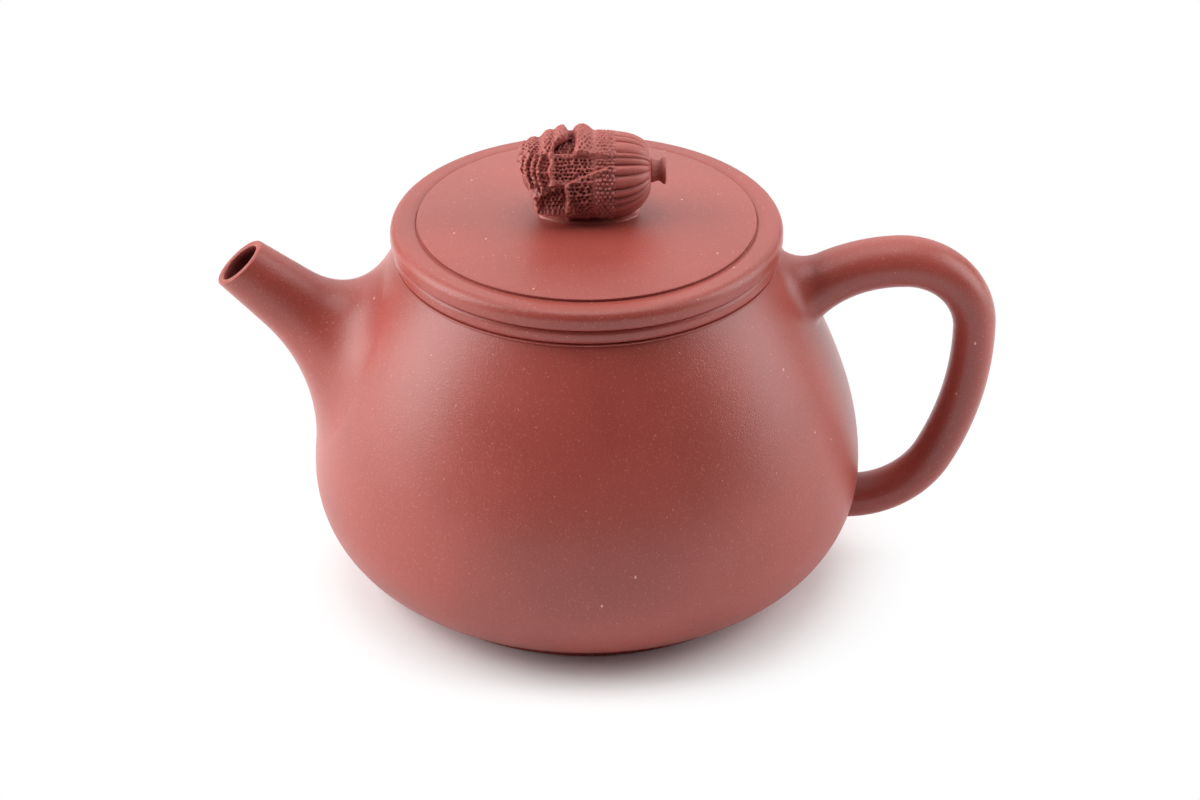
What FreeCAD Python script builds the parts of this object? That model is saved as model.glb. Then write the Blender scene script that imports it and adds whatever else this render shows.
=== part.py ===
"""Slab-built clay teapot with a straight spout, a loop handle and a lift-off lid.

The lid's knob is a cabbage lying on its side: a folded heart wrapped in ribbed leaves.
The origin is the centre of the foot's resting plane. The spout points along -X, the
handle along +X, and +Z is up.
"""
import FreeCAD
import Part
import math
import os
import Sketcher

# Driving dimensions: millimetres, degrees, counts and plain ratios
DIMENSIONS = {
    # Pot wall: the widest point, the arcs above and below it, and the rim
    "belly_radius": 46.0,
    "belly_height": 19.2,
    "belly_arc": 48.0,
    "shoulder_height": 33.0,
    "rim_height": 58.0,
    "wall": 2.6,
    # Base and foot: the wall's lower edge and the foot ring both reach past the base disc
    "base_radius": 31.0,
    "base_thickness": 2.1,
    "heel_width": 2.4,
    "foot_lap": 2.2,
    "foot_width": 4.2,
    "foot_height": 1.6,
    "foot_round": 0.5,
    # Mouth ring and lid: the rim lies outside the mouth, and each edge above it by the one below
    "mouth_radius": 26.4,
    "mouth_lip": 5.1,
    "ring_lap": 0.5,
    "ring_thickness": 3.0,
    "ring_round": 1.2,
    "lid_overhang": 0.5,
    "lid_thickness": 3.3,
    "lid_round": 1.6,
    "lid_under_round": 1.1,
    "cap_margin": 4.0,
    "cap_edge": 0.4,
    "cap_rise": 1.4,
    "flange_clearance": 0.4,
    "flange_wall": 2.4,
    "flange_depth": 8.0,
    "flange_round": 0.8,
    "vent_radius": 1.0,
    "vent_offset": 3.2,
    # Spout: its mouth, which leans back from square to the axis, and the sections behind it
    "spout_reach": 11.8,
    "spout_tip_height": 56.5,
    "spout_angle": 40.0,
    "spout_mouth_lean": 8.5,
    "spout_tip_radius": 4.85,
    "spout_lip": 1.2,
    "spout_lip_round": 0.4,
    "spout_throat_run": 14.0,
    "spout_throat_radius": 6.2,
    "spout_flare_arc": 15.0,
    "spout_root_run": 23.5,
    "spout_root_radius": 10.0,
    "spout_sink_run": 31.0,
    "spout_sink_radius": 18.0,
    "spout_wall": 1.6,
    # Ball strainer behind the spout
    "strainer_radius": 8.2,
    "strainer_shell": 1.3,
    "strainer_run": 28.0,
    "strainer_skirt": 9.0,
    "strainer_hole_radius": 0.75,
    "strainer_inner_ring": 2.7,
    "strainer_inner_count": 6,
    "strainer_outer_ring": 5.2,
    "strainer_outer_count": 12,
    "slip_gap": 0.1,
    # Handle: four tangent arcs from the upper root round to the lower one, crest past the belly
    "handle_reach": 6.6,
    "handle_crest_height": 56.7,
    "handle_arm_arc": 25.6,
    "handle_bend_arc": 12.2,
    "handle_grip_arc": 52.0,
    "handle_grip_turn": 28.0,
    "handle_tail_arc": 16.0,
    "handle_root_depth": 2.0,
    "handle_root_thickness": 10.0,
    "handle_root_width": 12.0,
    "handle_crest_thickness": 8.1,
    "handle_crest_width": 9.4,
    "handle_grip_thickness": 7.1,
    "handle_grip_width": 8.4,
    "handle_tail_thickness": 6.9,
    "handle_tail_width": 8.0,
    "handle_tail_root_thickness": 7.4,
    "handle_tail_root_width": 8.6,
    # Cabbage knob
    "pad_length": 18.6,
    "pad_width": 10.0,
    "pad_thickness": 1.4,
    "pad_taper": 1.2,
    "knob_sit": 5.4,
    "knob_root_x": 10.6,
    "knob_length": 22.2,
    "stalk_radius": 7.0,
    "stalk_run": 6.5,
    "neck_radius": 2.3,
    "tip_radius": 2.6,
    "tip_run": 5.5,
    "root_rise": 0.8,
    "tip_rise": 1.4,
    "root_lip_radius": 2.3,
    "root_lip": 0.7,
    "root_waist_arc": 2.4,
    "root_length": 2.5,
    "leaf_thickness": 1.3,
    "rib_count": 22,
    "rib_depth": 0.5,
    "leaf_flare": 0.5,
    "ruffle_depth": 0.8,
    "heart_fold_depth": 1.3,
    "heart_fold_count": 9,
    # Leaves: where each ends, or starts and ends, along the cabbage from its root
    "leaf_top_end": 11.6,
    "leaf_front_end": 16.6,
    "leaf_front_low_end": 14.2,
    "leaf_back_end": 18.6,
    "leaf_back_low_end": 17.0,
    "leaf_crown_start": 15.2,
    "leaf_crown_end": 21.0,
    "leaf_crown_lift": 1.6,
    "leaf_side_start": 17.0,
    "leaf_side_end": 21.6,
    "leaf_tip_start": 14.7,
    "leaf_tip_end": 20.4,
}

# Each leaf's first rib, counted from the top towards the front, and its count of ribs
LEAF_RIB_COUNTS = {
    "cabbage_leaf_top": (-1, 4),
    "cabbage_leaf_front": (3, 3),
    "cabbage_leaf_front_low": (6, 3),
    "cabbage_leaf_back": (-5, 4),
    "cabbage_leaf_back_low": (-8, 3),
    "cabbage_leaf_crown": (-1, 4),
    "cabbage_leaf_side": (3, 3),
    "cabbage_leaf_tip": (6, 3),
}
# Each leaf's start and end along the cabbage, and the lift of its start
LEAF_RUNS = {
    "cabbage_leaf_top": ("0", "Dims.leaf_top_end", "0"),
    "cabbage_leaf_front": ("0", "Dims.leaf_front_end", "0"),
    "cabbage_leaf_front_low": ("0", "Dims.leaf_front_low_end", "0"),
    "cabbage_leaf_back": ("0", "Dims.leaf_back_end", "0"),
    "cabbage_leaf_back_low": ("0", "Dims.leaf_back_low_end", "0"),
    "cabbage_leaf_crown": ("Dims.leaf_crown_start", "Dims.leaf_crown_end", "Dims.leaf_crown_lift"),
    "cabbage_leaf_side": ("Dims.leaf_side_start", "Dims.leaf_side_end", "0"),
    "cabbage_leaf_tip": ("Dims.leaf_tip_start", "Dims.leaf_tip_end", "0"),
}
END_STATION_COUNT = 3
STATION_GAP_RATIO = 0.02
RIB_POINT_COUNT = 4
FOLD_POINT_COUNT = 4

LEFT = 1
RIGHT = -1

doc = FreeCAD.newDocument("Teapot")
sheet = doc.addObject("Spreadsheet::Sheet", "Dims")
for row, (alias, number) in enumerate(DIMENSIONS.items(), start=1):
    sheet.set(f"A{row}", alias)
    sheet.set(f"B{row}", str(number))
    sheet.setAlias(f"B{row}", alias)
doc.recompute()


def size(expression):
    """Return the number that an expression in the sheet's names comes to."""
    return float(sheet.evalExpression(expression))


def from_origin(sketch, edge, end, axis, expression):
    """Pin one end of a sketch edge at a distance from the origin along X or Y."""
    if expression == "0":
        axis_line = -2 if axis == "X" else -1
        sketch.addConstraint(Sketcher.Constraint("PointOnObject", edge, end, axis_line))
        return
    distance = Sketcher.Constraint("Distance" + axis, -1, 1, edge, end, size(expression))
    index = sketch.addConstraint(distance)
    sketch.setExpression(f"Constraints[{index}]", expression)


def arc_between(start, end, radius, side):
    """Return the arc under a half circle from start to end, and whether it runs backwards."""
    chord = end - start
    middle = (start + end) * 0.5
    across = FreeCAD.Vector(-chord.y, chord.x, 0).normalize()
    centre = middle + across * side * math.sqrt(radius**2 - chord.Length**2 / 4)
    circle = Part.Circle(centre, FreeCAD.Vector(0, 0, 1), radius)
    first, last = (start, end) if side == LEFT else (end, start)
    return Part.ArcOfCircle(circle, circle.parameter(first), circle.parameter(last)), side == RIGHT


def add_profile(body, name, corners):
    """Draw a closed profile on a body's XZ plane.

    Each corner is (radius, height) or (radius, height, bend, side). A bend is the
    radius of the arc to the next corner, which curves to the LEFT or the RIGHT.
    """
    sketch = body.newObject("Sketcher::SketchObject", name)
    plane = next(item for item in body.Origin.OriginFeatures if item.Role == "XZ_Plane")
    sketch.AttachmentSupport = (plane, [""])
    sketch.MapMode = "FlatFace"
    points = [FreeCAD.Vector(size(corner[0]), size(corner[1]), 0) for corner in corners]
    ends = []
    for index, corner in enumerate(corners):
        start = points[index]
        end = points[(index + 1) % len(points)]
        backwards = False
        if len(corner) == 2:
            edge = Part.LineSegment(start, end)
        else:
            edge, backwards = arc_between(start, end, size(corner[2]), corner[3])
        number = sketch.addGeometry(edge)
        ends.append((number, 2, 1) if backwards else (number, 1, 2))
    for index, corner in enumerate(corners):
        edge, start, end = ends[index]
        following, next_start, _ = ends[(index + 1) % len(ends)]
        sketch.addConstraint(Sketcher.Constraint("Coincident", edge, end, following, next_start))
        from_origin(sketch, edge, start, "X", corner[0])
        from_origin(sketch, edge, start, "Y", corner[1])
        if len(corner) == 4:
            radius = sketch.addConstraint(Sketcher.Constraint("Radius", edge, size(corner[2])))
            sketch.setExpression(f"Constraints[{radius}]", corner[2])
    return sketch


def turned(label, corners):
    """Make a body by turning a profile about the vertical axis."""
    body = doc.addObject("PartDesign::Body", label)
    body.Label = label
    sketch = add_profile(body, label + "_profile", corners)
    turn = body.newObject("PartDesign::Revolution", label + "_turn")
    turn.Profile = sketch
    turn.ReferenceAxis = (sketch, ["V_Axis"])
    turn.Angle = 360
    doc.recompute()
    return body


def cut(label, base, tool):
    """Cut one object by another and label the result."""
    result = doc.addObject("Part::Cut", label)
    result.Label = label
    result.Base = base
    result.Tool = tool
    doc.recompute()
    return result


def lofted(name, sections):
    """Loft a solid through oval sections."""
    loft = doc.addObject("Part::Loft", name)
    loft.Sections = sections
    loft.Solid = True
    loft.Ruled = False
    doc.recompute()
    return loft


# Pot wall, outside: a heel arc from the base up to the belly, which it meets upright
HEEL_RADIUS = "(Dims.base_radius + Dims.heel_width)"
HEEL_IN = f"(Dims.belly_radius - {HEEL_RADIUS})"
HEEL_RISE = "(Dims.belly_height - Dims.foot_height)"
HEEL_ARC = f"(({HEEL_IN}^2 + {HEEL_RISE}^2) / (2 * {HEEL_IN}))"
HEEL_CENTRE = f"(Dims.belly_radius - {HEEL_ARC})"
# The belly arc goes on up to the shoulder, where its normal has these two parts
BELLY_CENTRE = "(Dims.belly_radius - Dims.belly_arc)"
SHOULDER_UP = "((Dims.shoulder_height - Dims.belly_height) / Dims.belly_arc)"
SHOULDER_OUT = f"sqrt(1 - {SHOULDER_UP}^2)"
SHOULDER_RADIUS = f"({BELLY_CENTRE} + Dims.belly_arc * {SHOULDER_OUT})"
# A tangent arc leads from the shoulder to the rim, and hollows where its radius is negative
RIM_RADIUS = "(Dims.mouth_radius + Dims.mouth_lip)"
RIM_IN = f"({SHOULDER_RADIUS} - {RIM_RADIUS})"
RIM_RISE = "(Dims.rim_height - Dims.shoulder_height)"
SHOULDER_ARC = (f"(({RIM_IN}^2 + {RIM_RISE}^2)"
                f" / (2 * ({RIM_IN} * {SHOULDER_OUT} - {RIM_RISE} * {SHOULDER_UP})))")
SHOULDER_SIDE = LEFT if size(SHOULDER_ARC) > 0 else RIGHT
SHOULDER_CENTRE = f"({SHOULDER_RADIUS} - {SHOULDER_ARC} * {SHOULDER_OUT})"
SHOULDER_CENTRE_Z = f"(Dims.shoulder_height - {SHOULDER_ARC} * {SHOULDER_UP})"
# Pot wall, inside: the same arcs about the same centres, one wall further in
HEEL_INNER_ARC = f"({HEEL_ARC} - Dims.wall)"
HEEL_INNER_Z = (f"(Dims.belly_height - sqrt({HEEL_INNER_ARC}^2"
                f" - (Dims.base_radius - {HEEL_CENTRE})^2))")
SHOULDER_INNER = f"({SHOULDER_RADIUS} - Dims.wall * {SHOULDER_OUT})"
SHOULDER_INNER_Z = f"(Dims.shoulder_height - Dims.wall * {SHOULDER_UP})"
SHOULDER_INNER_ARC = f"({SHOULDER_ARC} - Dims.wall)"
RIM_INNER = (f"({SHOULDER_CENTRE} + {SHOULDER_SIDE} * sqrt({SHOULDER_INNER_ARC}^2"
             f" - (Dims.rim_height - {SHOULDER_CENTRE_Z})^2))")

OUTER_CORNERS = [
    (HEEL_RADIUS, "Dims.foot_height", HEEL_ARC, LEFT),
    ("Dims.belly_radius", "Dims.belly_height", "Dims.belly_arc", LEFT),
    (SHOULDER_RADIUS, "Dims.shoulder_height", f"abs({SHOULDER_ARC})", SHOULDER_SIDE),
    (RIM_RADIUS, "Dims.rim_height"),
]
INNER_CORNERS = [
    (RIM_INNER, "Dims.rim_height", f"abs({SHOULDER_INNER_ARC})", -SHOULDER_SIDE),
    (SHOULDER_INNER, SHOULDER_INNER_Z, "Dims.belly_arc - Dims.wall", RIGHT),
    ("Dims.belly_radius - Dims.wall", "Dims.belly_height", HEEL_INNER_ARC, RIGHT),
    ("Dims.base_radius", HEEL_INNER_Z),
]
wall_blank = turned("wall_blank", [("Dims.base_radius", "Dims.foot_height")] + OUTER_CORNERS
                    + INNER_CORNERS)
pot_core = turned("pot_core", [("0", "Dims.foot_height")] + OUTER_CORNERS + [("0", "Dims.rim_height")])

# Base disc inside the wall's lower edge, and the foot ring under both
BASE_TOP = "Dims.foot_height + Dims.base_thickness"
FOOT_RADIUS = "(Dims.base_radius + Dims.foot_lap)"
base_disc = turned("base_disc", [
    ("0", "Dims.foot_height"),
    ("Dims.base_radius", "Dims.foot_height"),
    ("Dims.base_radius", BASE_TOP),
    ("0", BASE_TOP),
])
foot_ring = turned("foot_ring", [
    (f"{FOOT_RADIUS} - Dims.foot_width", "0"),
    (f"{FOOT_RADIUS} - Dims.foot_round", "0", "Dims.foot_round", LEFT),
    (FOOT_RADIUS, "Dims.foot_round"),
    (FOOT_RADIUS, "Dims.foot_height"),
    (f"{FOOT_RADIUS} - Dims.foot_width", "Dims.foot_height"),
])

# Mouth ring on the rim, and the lid's pieces above it
RING_RADIUS = f"({RIM_RADIUS} + Dims.ring_lap)"
LID_RADIUS = f"({RING_RADIUS} + Dims.lid_overhang)"
CAP_RADIUS = f"({LID_RADIUS} - Dims.cap_margin)"
LID_SEAT = "(Dims.rim_height + Dims.ring_thickness)"
LID_TOP = f"({LID_SEAT} + Dims.lid_thickness)"
CAP_EDGE_TOP = f"({LID_TOP} + Dims.cap_edge)"
CAP_TOP = f"({CAP_EDGE_TOP} + Dims.cap_rise)"
CAP_DOME = f"(({CAP_RADIUS}^2 + Dims.cap_rise^2) / (2 * Dims.cap_rise))"
FLANGE_RADIUS = "(Dims.mouth_radius - Dims.flange_clearance)"
FLANGE_FOOT = f"({LID_SEAT} - Dims.flange_depth)"
PAD_TOP = f"({CAP_TOP} + Dims.pad_thickness)"
KNOB_AXIS = f"({PAD_TOP} + Dims.knob_sit)"

mouth_ring = turned("mouth_ring", [
    ("Dims.mouth_radius", "Dims.rim_height"),
    (f"{RING_RADIUS} - Dims.ring_round", "Dims.rim_height", "Dims.ring_round", LEFT),
    (RING_RADIUS, "Dims.rim_height + Dims.ring_round"),
    (RING_RADIUS, f"{LID_SEAT} - Dims.ring_round", "Dims.ring_round", LEFT),
    (f"{RING_RADIUS} - Dims.ring_round", LID_SEAT),
    ("Dims.mouth_radius", LID_SEAT),
])
plate_blank = turned("plate_blank", [
    ("0", LID_SEAT),
    (f"{LID_RADIUS} - Dims.lid_under_round", LID_SEAT, "Dims.lid_under_round", LEFT),
    (LID_RADIUS, f"{LID_SEAT} + Dims.lid_under_round"),
    (LID_RADIUS, f"{LID_TOP} - Dims.lid_round", "Dims.lid_round", LEFT),
    (f"{LID_RADIUS} - Dims.lid_round", LID_TOP),
    ("0", LID_TOP),
])
cap_blank = turned("cap_blank", [
    ("0", LID_TOP),
    (CAP_RADIUS, LID_TOP),
    (CAP_RADIUS, CAP_EDGE_TOP, CAP_DOME, LEFT),
    ("0", CAP_TOP),
])
lid_flange = turned("lid_flange", [
    (f"{FLANGE_RADIUS} - Dims.flange_wall", FLANGE_FOOT),
    (f"{FLANGE_RADIUS} - Dims.flange_round", FLANGE_FOOT, "Dims.flange_round", LEFT),
    (FLANGE_RADIUS, f"{FLANGE_FOOT} + Dims.flange_round"),
    (FLANGE_RADIUS, LID_SEAT),
    (f"{FLANGE_RADIUS} - Dims.flange_wall", LID_SEAT),
])

# Spout: a turned tube on an axis that rises from the wall to the mouth
SPOUT_TILT = "(Dims.spout_angle - 90)"
SPOUT_TIP = "(Dims.belly_radius + Dims.spout_reach)"


def on_spout(run):
    """Return a placement on the spout's axis, at a distance behind its mouth."""
    turn = FreeCAD.Rotation(FreeCAD.Vector(0, 1, 0), size(SPOUT_TILT))
    tip = FreeCAD.Vector(-size(SPOUT_TIP), 0, size("Dims.spout_tip_height"))
    return FreeCAD.Placement(tip - turn.multVec(FreeCAD.Vector(0, 0, run)), turn)


SPOUT_TOP = "Dims.spout_sink_run"
THROAT = f"{SPOUT_TOP} - Dims.spout_throat_run"
ROOT = f"{SPOUT_TOP} - Dims.spout_root_run"
SPOUT_TAPER = "((Dims.spout_throat_radius - Dims.spout_tip_radius) / Dims.spout_throat_run)"
BORE_ROOT = "(Dims.strainer_radius - Dims.strainer_shell)"
BORE_THROAT = "(Dims.spout_throat_radius - Dims.spout_wall)"
BORE_TIP = "(Dims.spout_tip_radius - Dims.spout_lip)"
BORE_TAPER = f"(({BORE_THROAT} - {BORE_TIP}) / Dims.spout_throat_run)"
# The tube runs on past its mouth, where a leaning plane trims it
SPOUT_PAST = "(Dims.spout_tip_radius * tan(Dims.spout_mouth_lean) + Dims.spout_lip)"
SPOUT_END = f"{SPOUT_TOP} + {SPOUT_PAST}"
spout_blank = turned("spout_blank", [
    (BORE_ROOT, "0"),
    ("Dims.spout_sink_radius", "0"),
    ("Dims.spout_root_radius", ROOT, "Dims.spout_flare_arc", RIGHT),
    ("Dims.spout_throat_radius", THROAT),
    (f"Dims.spout_tip_radius - {SPOUT_TAPER} * {SPOUT_PAST}", SPOUT_END),
    (f"{BORE_TIP} - {BORE_TAPER} * {SPOUT_PAST}", SPOUT_END),
    (BORE_THROAT, THROAT),
    (BORE_ROOT, ROOT),
])
spout_blank.Placement = on_spout(size("Dims.spout_sink_run"))

MOUTH_HALF = "2 * Dims.spout_tip_radius"
MOUTH_SIDE = f"2 * {MOUTH_HALF}"
MOUTH_TOLERANCE = 0.001
MOUTH_POINT_COUNT = 8
mouth_lean = FreeCAD.Rotation(FreeCAD.Vector(0, 1, 0), size("Dims.spout_mouth_lean"))
mouth_plane = on_spout(0) * FreeCAD.Placement(FreeCAD.Vector(), mouth_lean)
mouth_corner = FreeCAD.Vector(-size(MOUTH_HALF), -size(MOUTH_HALF), 0)
mouth_trim = doc.addObject("Part::Box", "mouth_trim")
mouth_trim.setExpression("Length", MOUTH_SIDE)
mouth_trim.setExpression("Width", MOUTH_SIDE)
mouth_trim.setExpression("Height", MOUTH_SIDE)
mouth_trim.Placement = mouth_plane * FreeCAD.Placement(mouth_corner, FreeCAD.Rotation())
spout_tube = cut("spout_tube", spout_blank, mouth_trim)


def edges_in_mouth(shape):
    """Return the numbers of the edges that lie in the plane of the spout's mouth."""
    flat = mouth_plane.inverse()
    numbers = []
    for number, edge in enumerate(shape.Edges, start=1):
        heights = [abs(flat.multVec(point).z) for point in edge.discretize(MOUTH_POINT_COUNT)]
        if max(heights) < MOUTH_TOLERANCE:
            numbers.append(number)
    return numbers


lip_round = size("Dims.spout_lip_round")
spout_lip = doc.addObject("Part::Fillet", "spout_lip")
spout_lip.Base = spout_tube
spout_lip.Edges = [(number, lip_round, lip_round) for number in edges_in_mouth(spout_tube.Shape)]
doc.recompute()
spout = cut("spout", spout_lip, pot_core)

# Ball strainer: a pierced dome on a short skirt, seated in a round hole in the wall
STRAINER_OUTER = "(Dims.strainer_radius - Dims.slip_gap)"
STRAINER_INNER = f"({STRAINER_OUTER} - Dims.strainer_shell)"
STRAINER_START = "(Dims.strainer_run - Dims.strainer_skirt)"


def into_pot(run):
    """Return a placement on the spout's axis that faces into the pot."""
    about_face = FreeCAD.Rotation(FreeCAD.Vector(0, 1, 0), 180)
    return on_spout(run) * FreeCAD.Placement(FreeCAD.Vector(), about_face)


def pierce(body, name, ring, count):
    """Pierce a body along its axis with a ring of round holes, or one hole in the middle."""
    sketch = body.newObject("Sketcher::SketchObject", name + "_sketch")
    plane = next(item for item in body.Origin.OriginFeatures if item.Role == "XY_Plane")
    sketch.AttachmentSupport = (plane, [""])
    sketch.MapMode = "FlatFace"
    radius = size("Dims.strainer_hole_radius")
    hole = Part.Circle(FreeCAD.Vector(size(ring), 0, 0), FreeCAD.Vector(0, 0, 1), radius)
    edge = sketch.addGeometry(hole)
    from_origin(sketch, edge, 3, "X", ring)
    from_origin(sketch, edge, 3, "Y", "0")
    index = sketch.addConstraint(Sketcher.Constraint("Radius", edge, radius))
    sketch.setExpression(f"Constraints[{index}]", "Dims.strainer_hole_radius")
    pocket = body.newObject("PartDesign::Pocket", name)
    pocket.Profile = sketch
    pocket.Reversed = True
    pocket.setExpression("Length", f"Dims.strainer_skirt + 2 * {STRAINER_OUTER}")
    doc.recompute()
    if count == "1":
        return
    pattern = body.newObject("PartDesign::PolarPattern", name + "_ring")
    pattern.Originals = [pocket]
    pattern.Axis = (sketch, ["N_Axis"])
    pattern.Angle = 360
    pattern.setExpression("Occurrences", count)
    body.Tip = pattern
    doc.recompute()


strainer_ball = turned("strainer_ball", [
    (STRAINER_INNER, "0"),
    (STRAINER_OUTER, "0"),
    (STRAINER_OUTER, "Dims.strainer_skirt", STRAINER_OUTER, LEFT),
    ("0", f"Dims.strainer_skirt + {STRAINER_OUTER}"),
    ("0", f"Dims.strainer_skirt + {STRAINER_INNER}", STRAINER_INNER, RIGHT),
    (STRAINER_INNER, "Dims.strainer_skirt"),
])
pierce(strainer_ball, "middle_hole", "0", "1")
pierce(strainer_ball, "inner_holes", "Dims.strainer_inner_ring", "Dims.strainer_inner_count")
pierce(strainer_ball, "outer_holes", "Dims.strainer_outer_ring", "Dims.strainer_outer_count")
strainer_ball.Placement = into_pot(size(STRAINER_START))
strainer = doc.addObject("Part::Common", "strainer")
strainer.Label = "strainer"
strainer.Base = strainer_ball
strainer.Tool = pot_core

strainer_seat = doc.addObject("Part::Cylinder", "strainer_seat")
strainer_seat.setExpression("Radius", "Dims.strainer_radius")
strainer_seat.setExpression("Height", "Dims.strainer_skirt + Dims.wall")
strainer_seat.Placement = into_pot(size(STRAINER_START))
belly_wall = cut("belly_wall", wall_blank, strainer_seat)

# Handle: oval sections along four tangent arcs, seated on the wall at both roots
HANDLE_CREST = "(Dims.belly_radius + Dims.handle_reach)"
HANDLE_STEP_COUNT = 4
HANDLE_SIZES = ("root", "crest", "grip", "tail", "tail_root")
FLARE_POWER = 3
CREST_ANGLE = 90.0
LONGEST_SWEEP = 90.0
SWEEP_TOLERANCE = 0.01


def wall_radius(height):
    """Return the pot's outer radius at a height above the foot."""
    side = LEFT
    if height < size("Dims.belly_height"):
        centre, centre_z, radius = size(HEEL_CENTRE), size("Dims.belly_height"), size(HEEL_ARC)
    elif height < size("Dims.shoulder_height"):
        centre, centre_z, radius = size(BELLY_CENTRE), size("Dims.belly_height"), size("Dims.belly_arc")
    else:
        centre, centre_z, radius = size(SHOULDER_CENTRE), size(SHOULDER_CENTRE_Z), size(SHOULDER_ARC)
        side = SHOULDER_SIDE
    return centre + side * math.sqrt(max(radius**2 - (height - centre_z)**2, 0))


def sweep_to_wall(centre_x, centre_z, radius, start, way):
    """Return the angle at which an arc, followed from start, reaches its depth in the wall."""
    outside, inside = 0.0, LONGEST_SWEEP
    while inside - outside > SWEEP_TOLERANCE:
        half = (outside + inside) / 2
        angle = math.radians(start + way * half)
        height = centre_z + radius * math.sin(angle)
        depth = wall_radius(height) - (centre_x + radius * math.cos(angle))
        if depth > size("Dims.handle_root_depth"):
            inside = half
        else:
            outside = half
    return start + way * inside


def handle_arcs():
    """Return the arcs of the handle's path as (centre x, centre z, radius, start, end).

    Angles are in degrees from +X towards +Z. The path runs from the upper root over the
    crest, down the grip and back to the wall.
    """
    crest_x = size(HANDLE_CREST)
    crest_z = size("Dims.handle_crest_height")
    arm = size("Dims.handle_arm_arc")
    bend = size("Dims.handle_bend_arc")
    grip = size("Dims.handle_grip_arc")
    turn = math.radians(size("Dims.handle_grip_turn"))
    tail = size("Dims.handle_tail_arc")
    arm_z = crest_z - arm
    bend_z = crest_z - bend
    grip_x = crest_x + bend - grip
    tail_x = grip_x + (grip - tail) * math.cos(turn)
    tail_z = bend_z - (grip - tail) * math.sin(turn)
    grip_end = -size("Dims.handle_grip_turn")
    return (
        (crest_x, arm_z, arm, sweep_to_wall(crest_x, arm_z, arm, CREST_ANGLE, 1), CREST_ANGLE),
        (crest_x, bend_z, bend, CREST_ANGLE, 0),
        (grip_x, bend_z, grip, 0, grip_end),
        (tail_x, tail_z, tail, grip_end, sweep_to_wall(tail_x, tail_z, tail, grip_end, -1)),
    )


def handle_size(number, share, kind):
    """Return the expression for a half thickness or half width along one arc of the handle."""
    first = f"Dims.handle_{HANDLE_SIZES[number]}_{kind}"
    last = f"Dims.handle_{HANDLE_SIZES[number + 1]}_{kind}"
    if number == 0:
        weight = 1 - (1 - share)**FLARE_POWER
    elif number == len(HANDLE_SIZES) - 2:
        weight = share**FLARE_POWER
    else:
        weight = share
    return f"({first} * {1 - weight} + {last} * {weight}) / 2"


def handle_section(name, arc, number, share):
    """Add one oval section of the handle, square to its path."""
    centre_x, centre_z, radius, start, end = arc
    angle = math.radians(start + (end - start) * share)
    outwards = FreeCAD.Vector(math.cos(angle), 0, math.sin(angle))
    along = FreeCAD.Vector(math.sin(angle), 0, -math.cos(angle))
    sideways = FreeCAD.Vector(0, 1, 0)
    wide = handle_size(number, share, "width")
    thick = handle_size(number, share, "thickness")
    oval = doc.addObject("Part::Ellipse", name)
    if size(wide) >= size(thick):
        turn = FreeCAD.Rotation(sideways, FreeCAD.Vector(), along, "ZXY")
        oval.setExpression("MajorRadius", wide)
        oval.setExpression("MinorRadius", thick)
    else:
        turn = FreeCAD.Rotation(outwards, FreeCAD.Vector(), along, "ZXY")
        oval.setExpression("MajorRadius", thick)
        oval.setExpression("MinorRadius", wide)
    centre = FreeCAD.Vector(centre_x, 0, centre_z)
    oval.Placement = FreeCAD.Placement(centre + outwards * radius, turn)
    return oval


handle_ovals = []
for number, arc in enumerate(handle_arcs()):
    first_step = 0 if number == 0 else 1
    for step in range(first_step, HANDLE_STEP_COUNT + 1):
        name = f"handle_oval_{number}_{step}"
        handle_ovals.append(handle_section(name, arc, number, step / HANDLE_STEP_COUNT))
handle_blank = lofted("handle_blank", handle_ovals)
handle = cut("handle", handle_blank, pot_core)

# Vent: one bore through the lid, the pad and the cabbage's heart, open between two leaves
vent = doc.addObject("Part::Cylinder", "vent")
vent.setExpression("Radius", "Dims.vent_radius")
vent.setExpression("Height", f"{KNOB_AXIS} - {FLANGE_FOOT} + 2 * Dims.stalk_radius")
vent.Placement = FreeCAD.Placement(
    FreeCAD.Vector(-size("Dims.vent_offset"), 0, size(FLANGE_FOOT)), FreeCAD.Rotation())
lid_plate = cut("lid_plate", plate_blank, vent)
lid_cap = cut("lid_cap", cap_blank, vent)

# Knob pad: an oval bed of slip that narrows from the domed lid to the flat under the cabbage
pad_ovals = []
for number, (height, inset) in enumerate(((LID_TOP, "0"), (PAD_TOP, "Dims.pad_taper"))):
    oval = doc.addObject("Part::Ellipse", f"pad_oval_{number}")
    oval.setExpression("MajorRadius", f"Dims.pad_length / 2 - {inset}")
    oval.setExpression("MinorRadius", f"Dims.pad_width / 2 - {inset}")
    oval.Placement = FreeCAD.Placement(FreeCAD.Vector(0, 0, size(height)), FreeCAD.Rotation())
    pad_ovals.append(oval)
pad_blank = lofted("pad_blank", pad_ovals)
pad_bed = cut("pad_bed", pad_blank, cap_blank)
knob_pad = cut("knob_pad", pad_bed, vent)

# Cabbage knob: runs are counted along -X from the root's neck, angles from +Z to the front
RIB_PITCH = 2 * math.pi / size("Dims.rib_count")


def knob_point(run, angle, radius):
    """Return a point of the cabbage at a run, an angle and a radius from its axis."""
    near_root = max(1 - run / size("Dims.stalk_run"), 0)
    near_tip = max(1 - (size("Dims.knob_length") - run) / size("Dims.tip_run"), 0)
    rise = size("Dims.root_rise") * near_root**2 + size("Dims.tip_rise") * near_tip**2
    return FreeCAD.Vector(
        size("Dims.knob_root_x") - run,
        -radius * math.sin(angle),
        size(KNOB_AXIS) + rise + radius * math.cos(angle),
    )


def leaf_share(run):
    """Return how far a run has come from the end of the stalk to the tip, from 0 to 1."""
    stalk = size("Dims.stalk_run")
    return max(run - stalk, 0) / (size("Dims.knob_length") - stalk)


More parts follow.
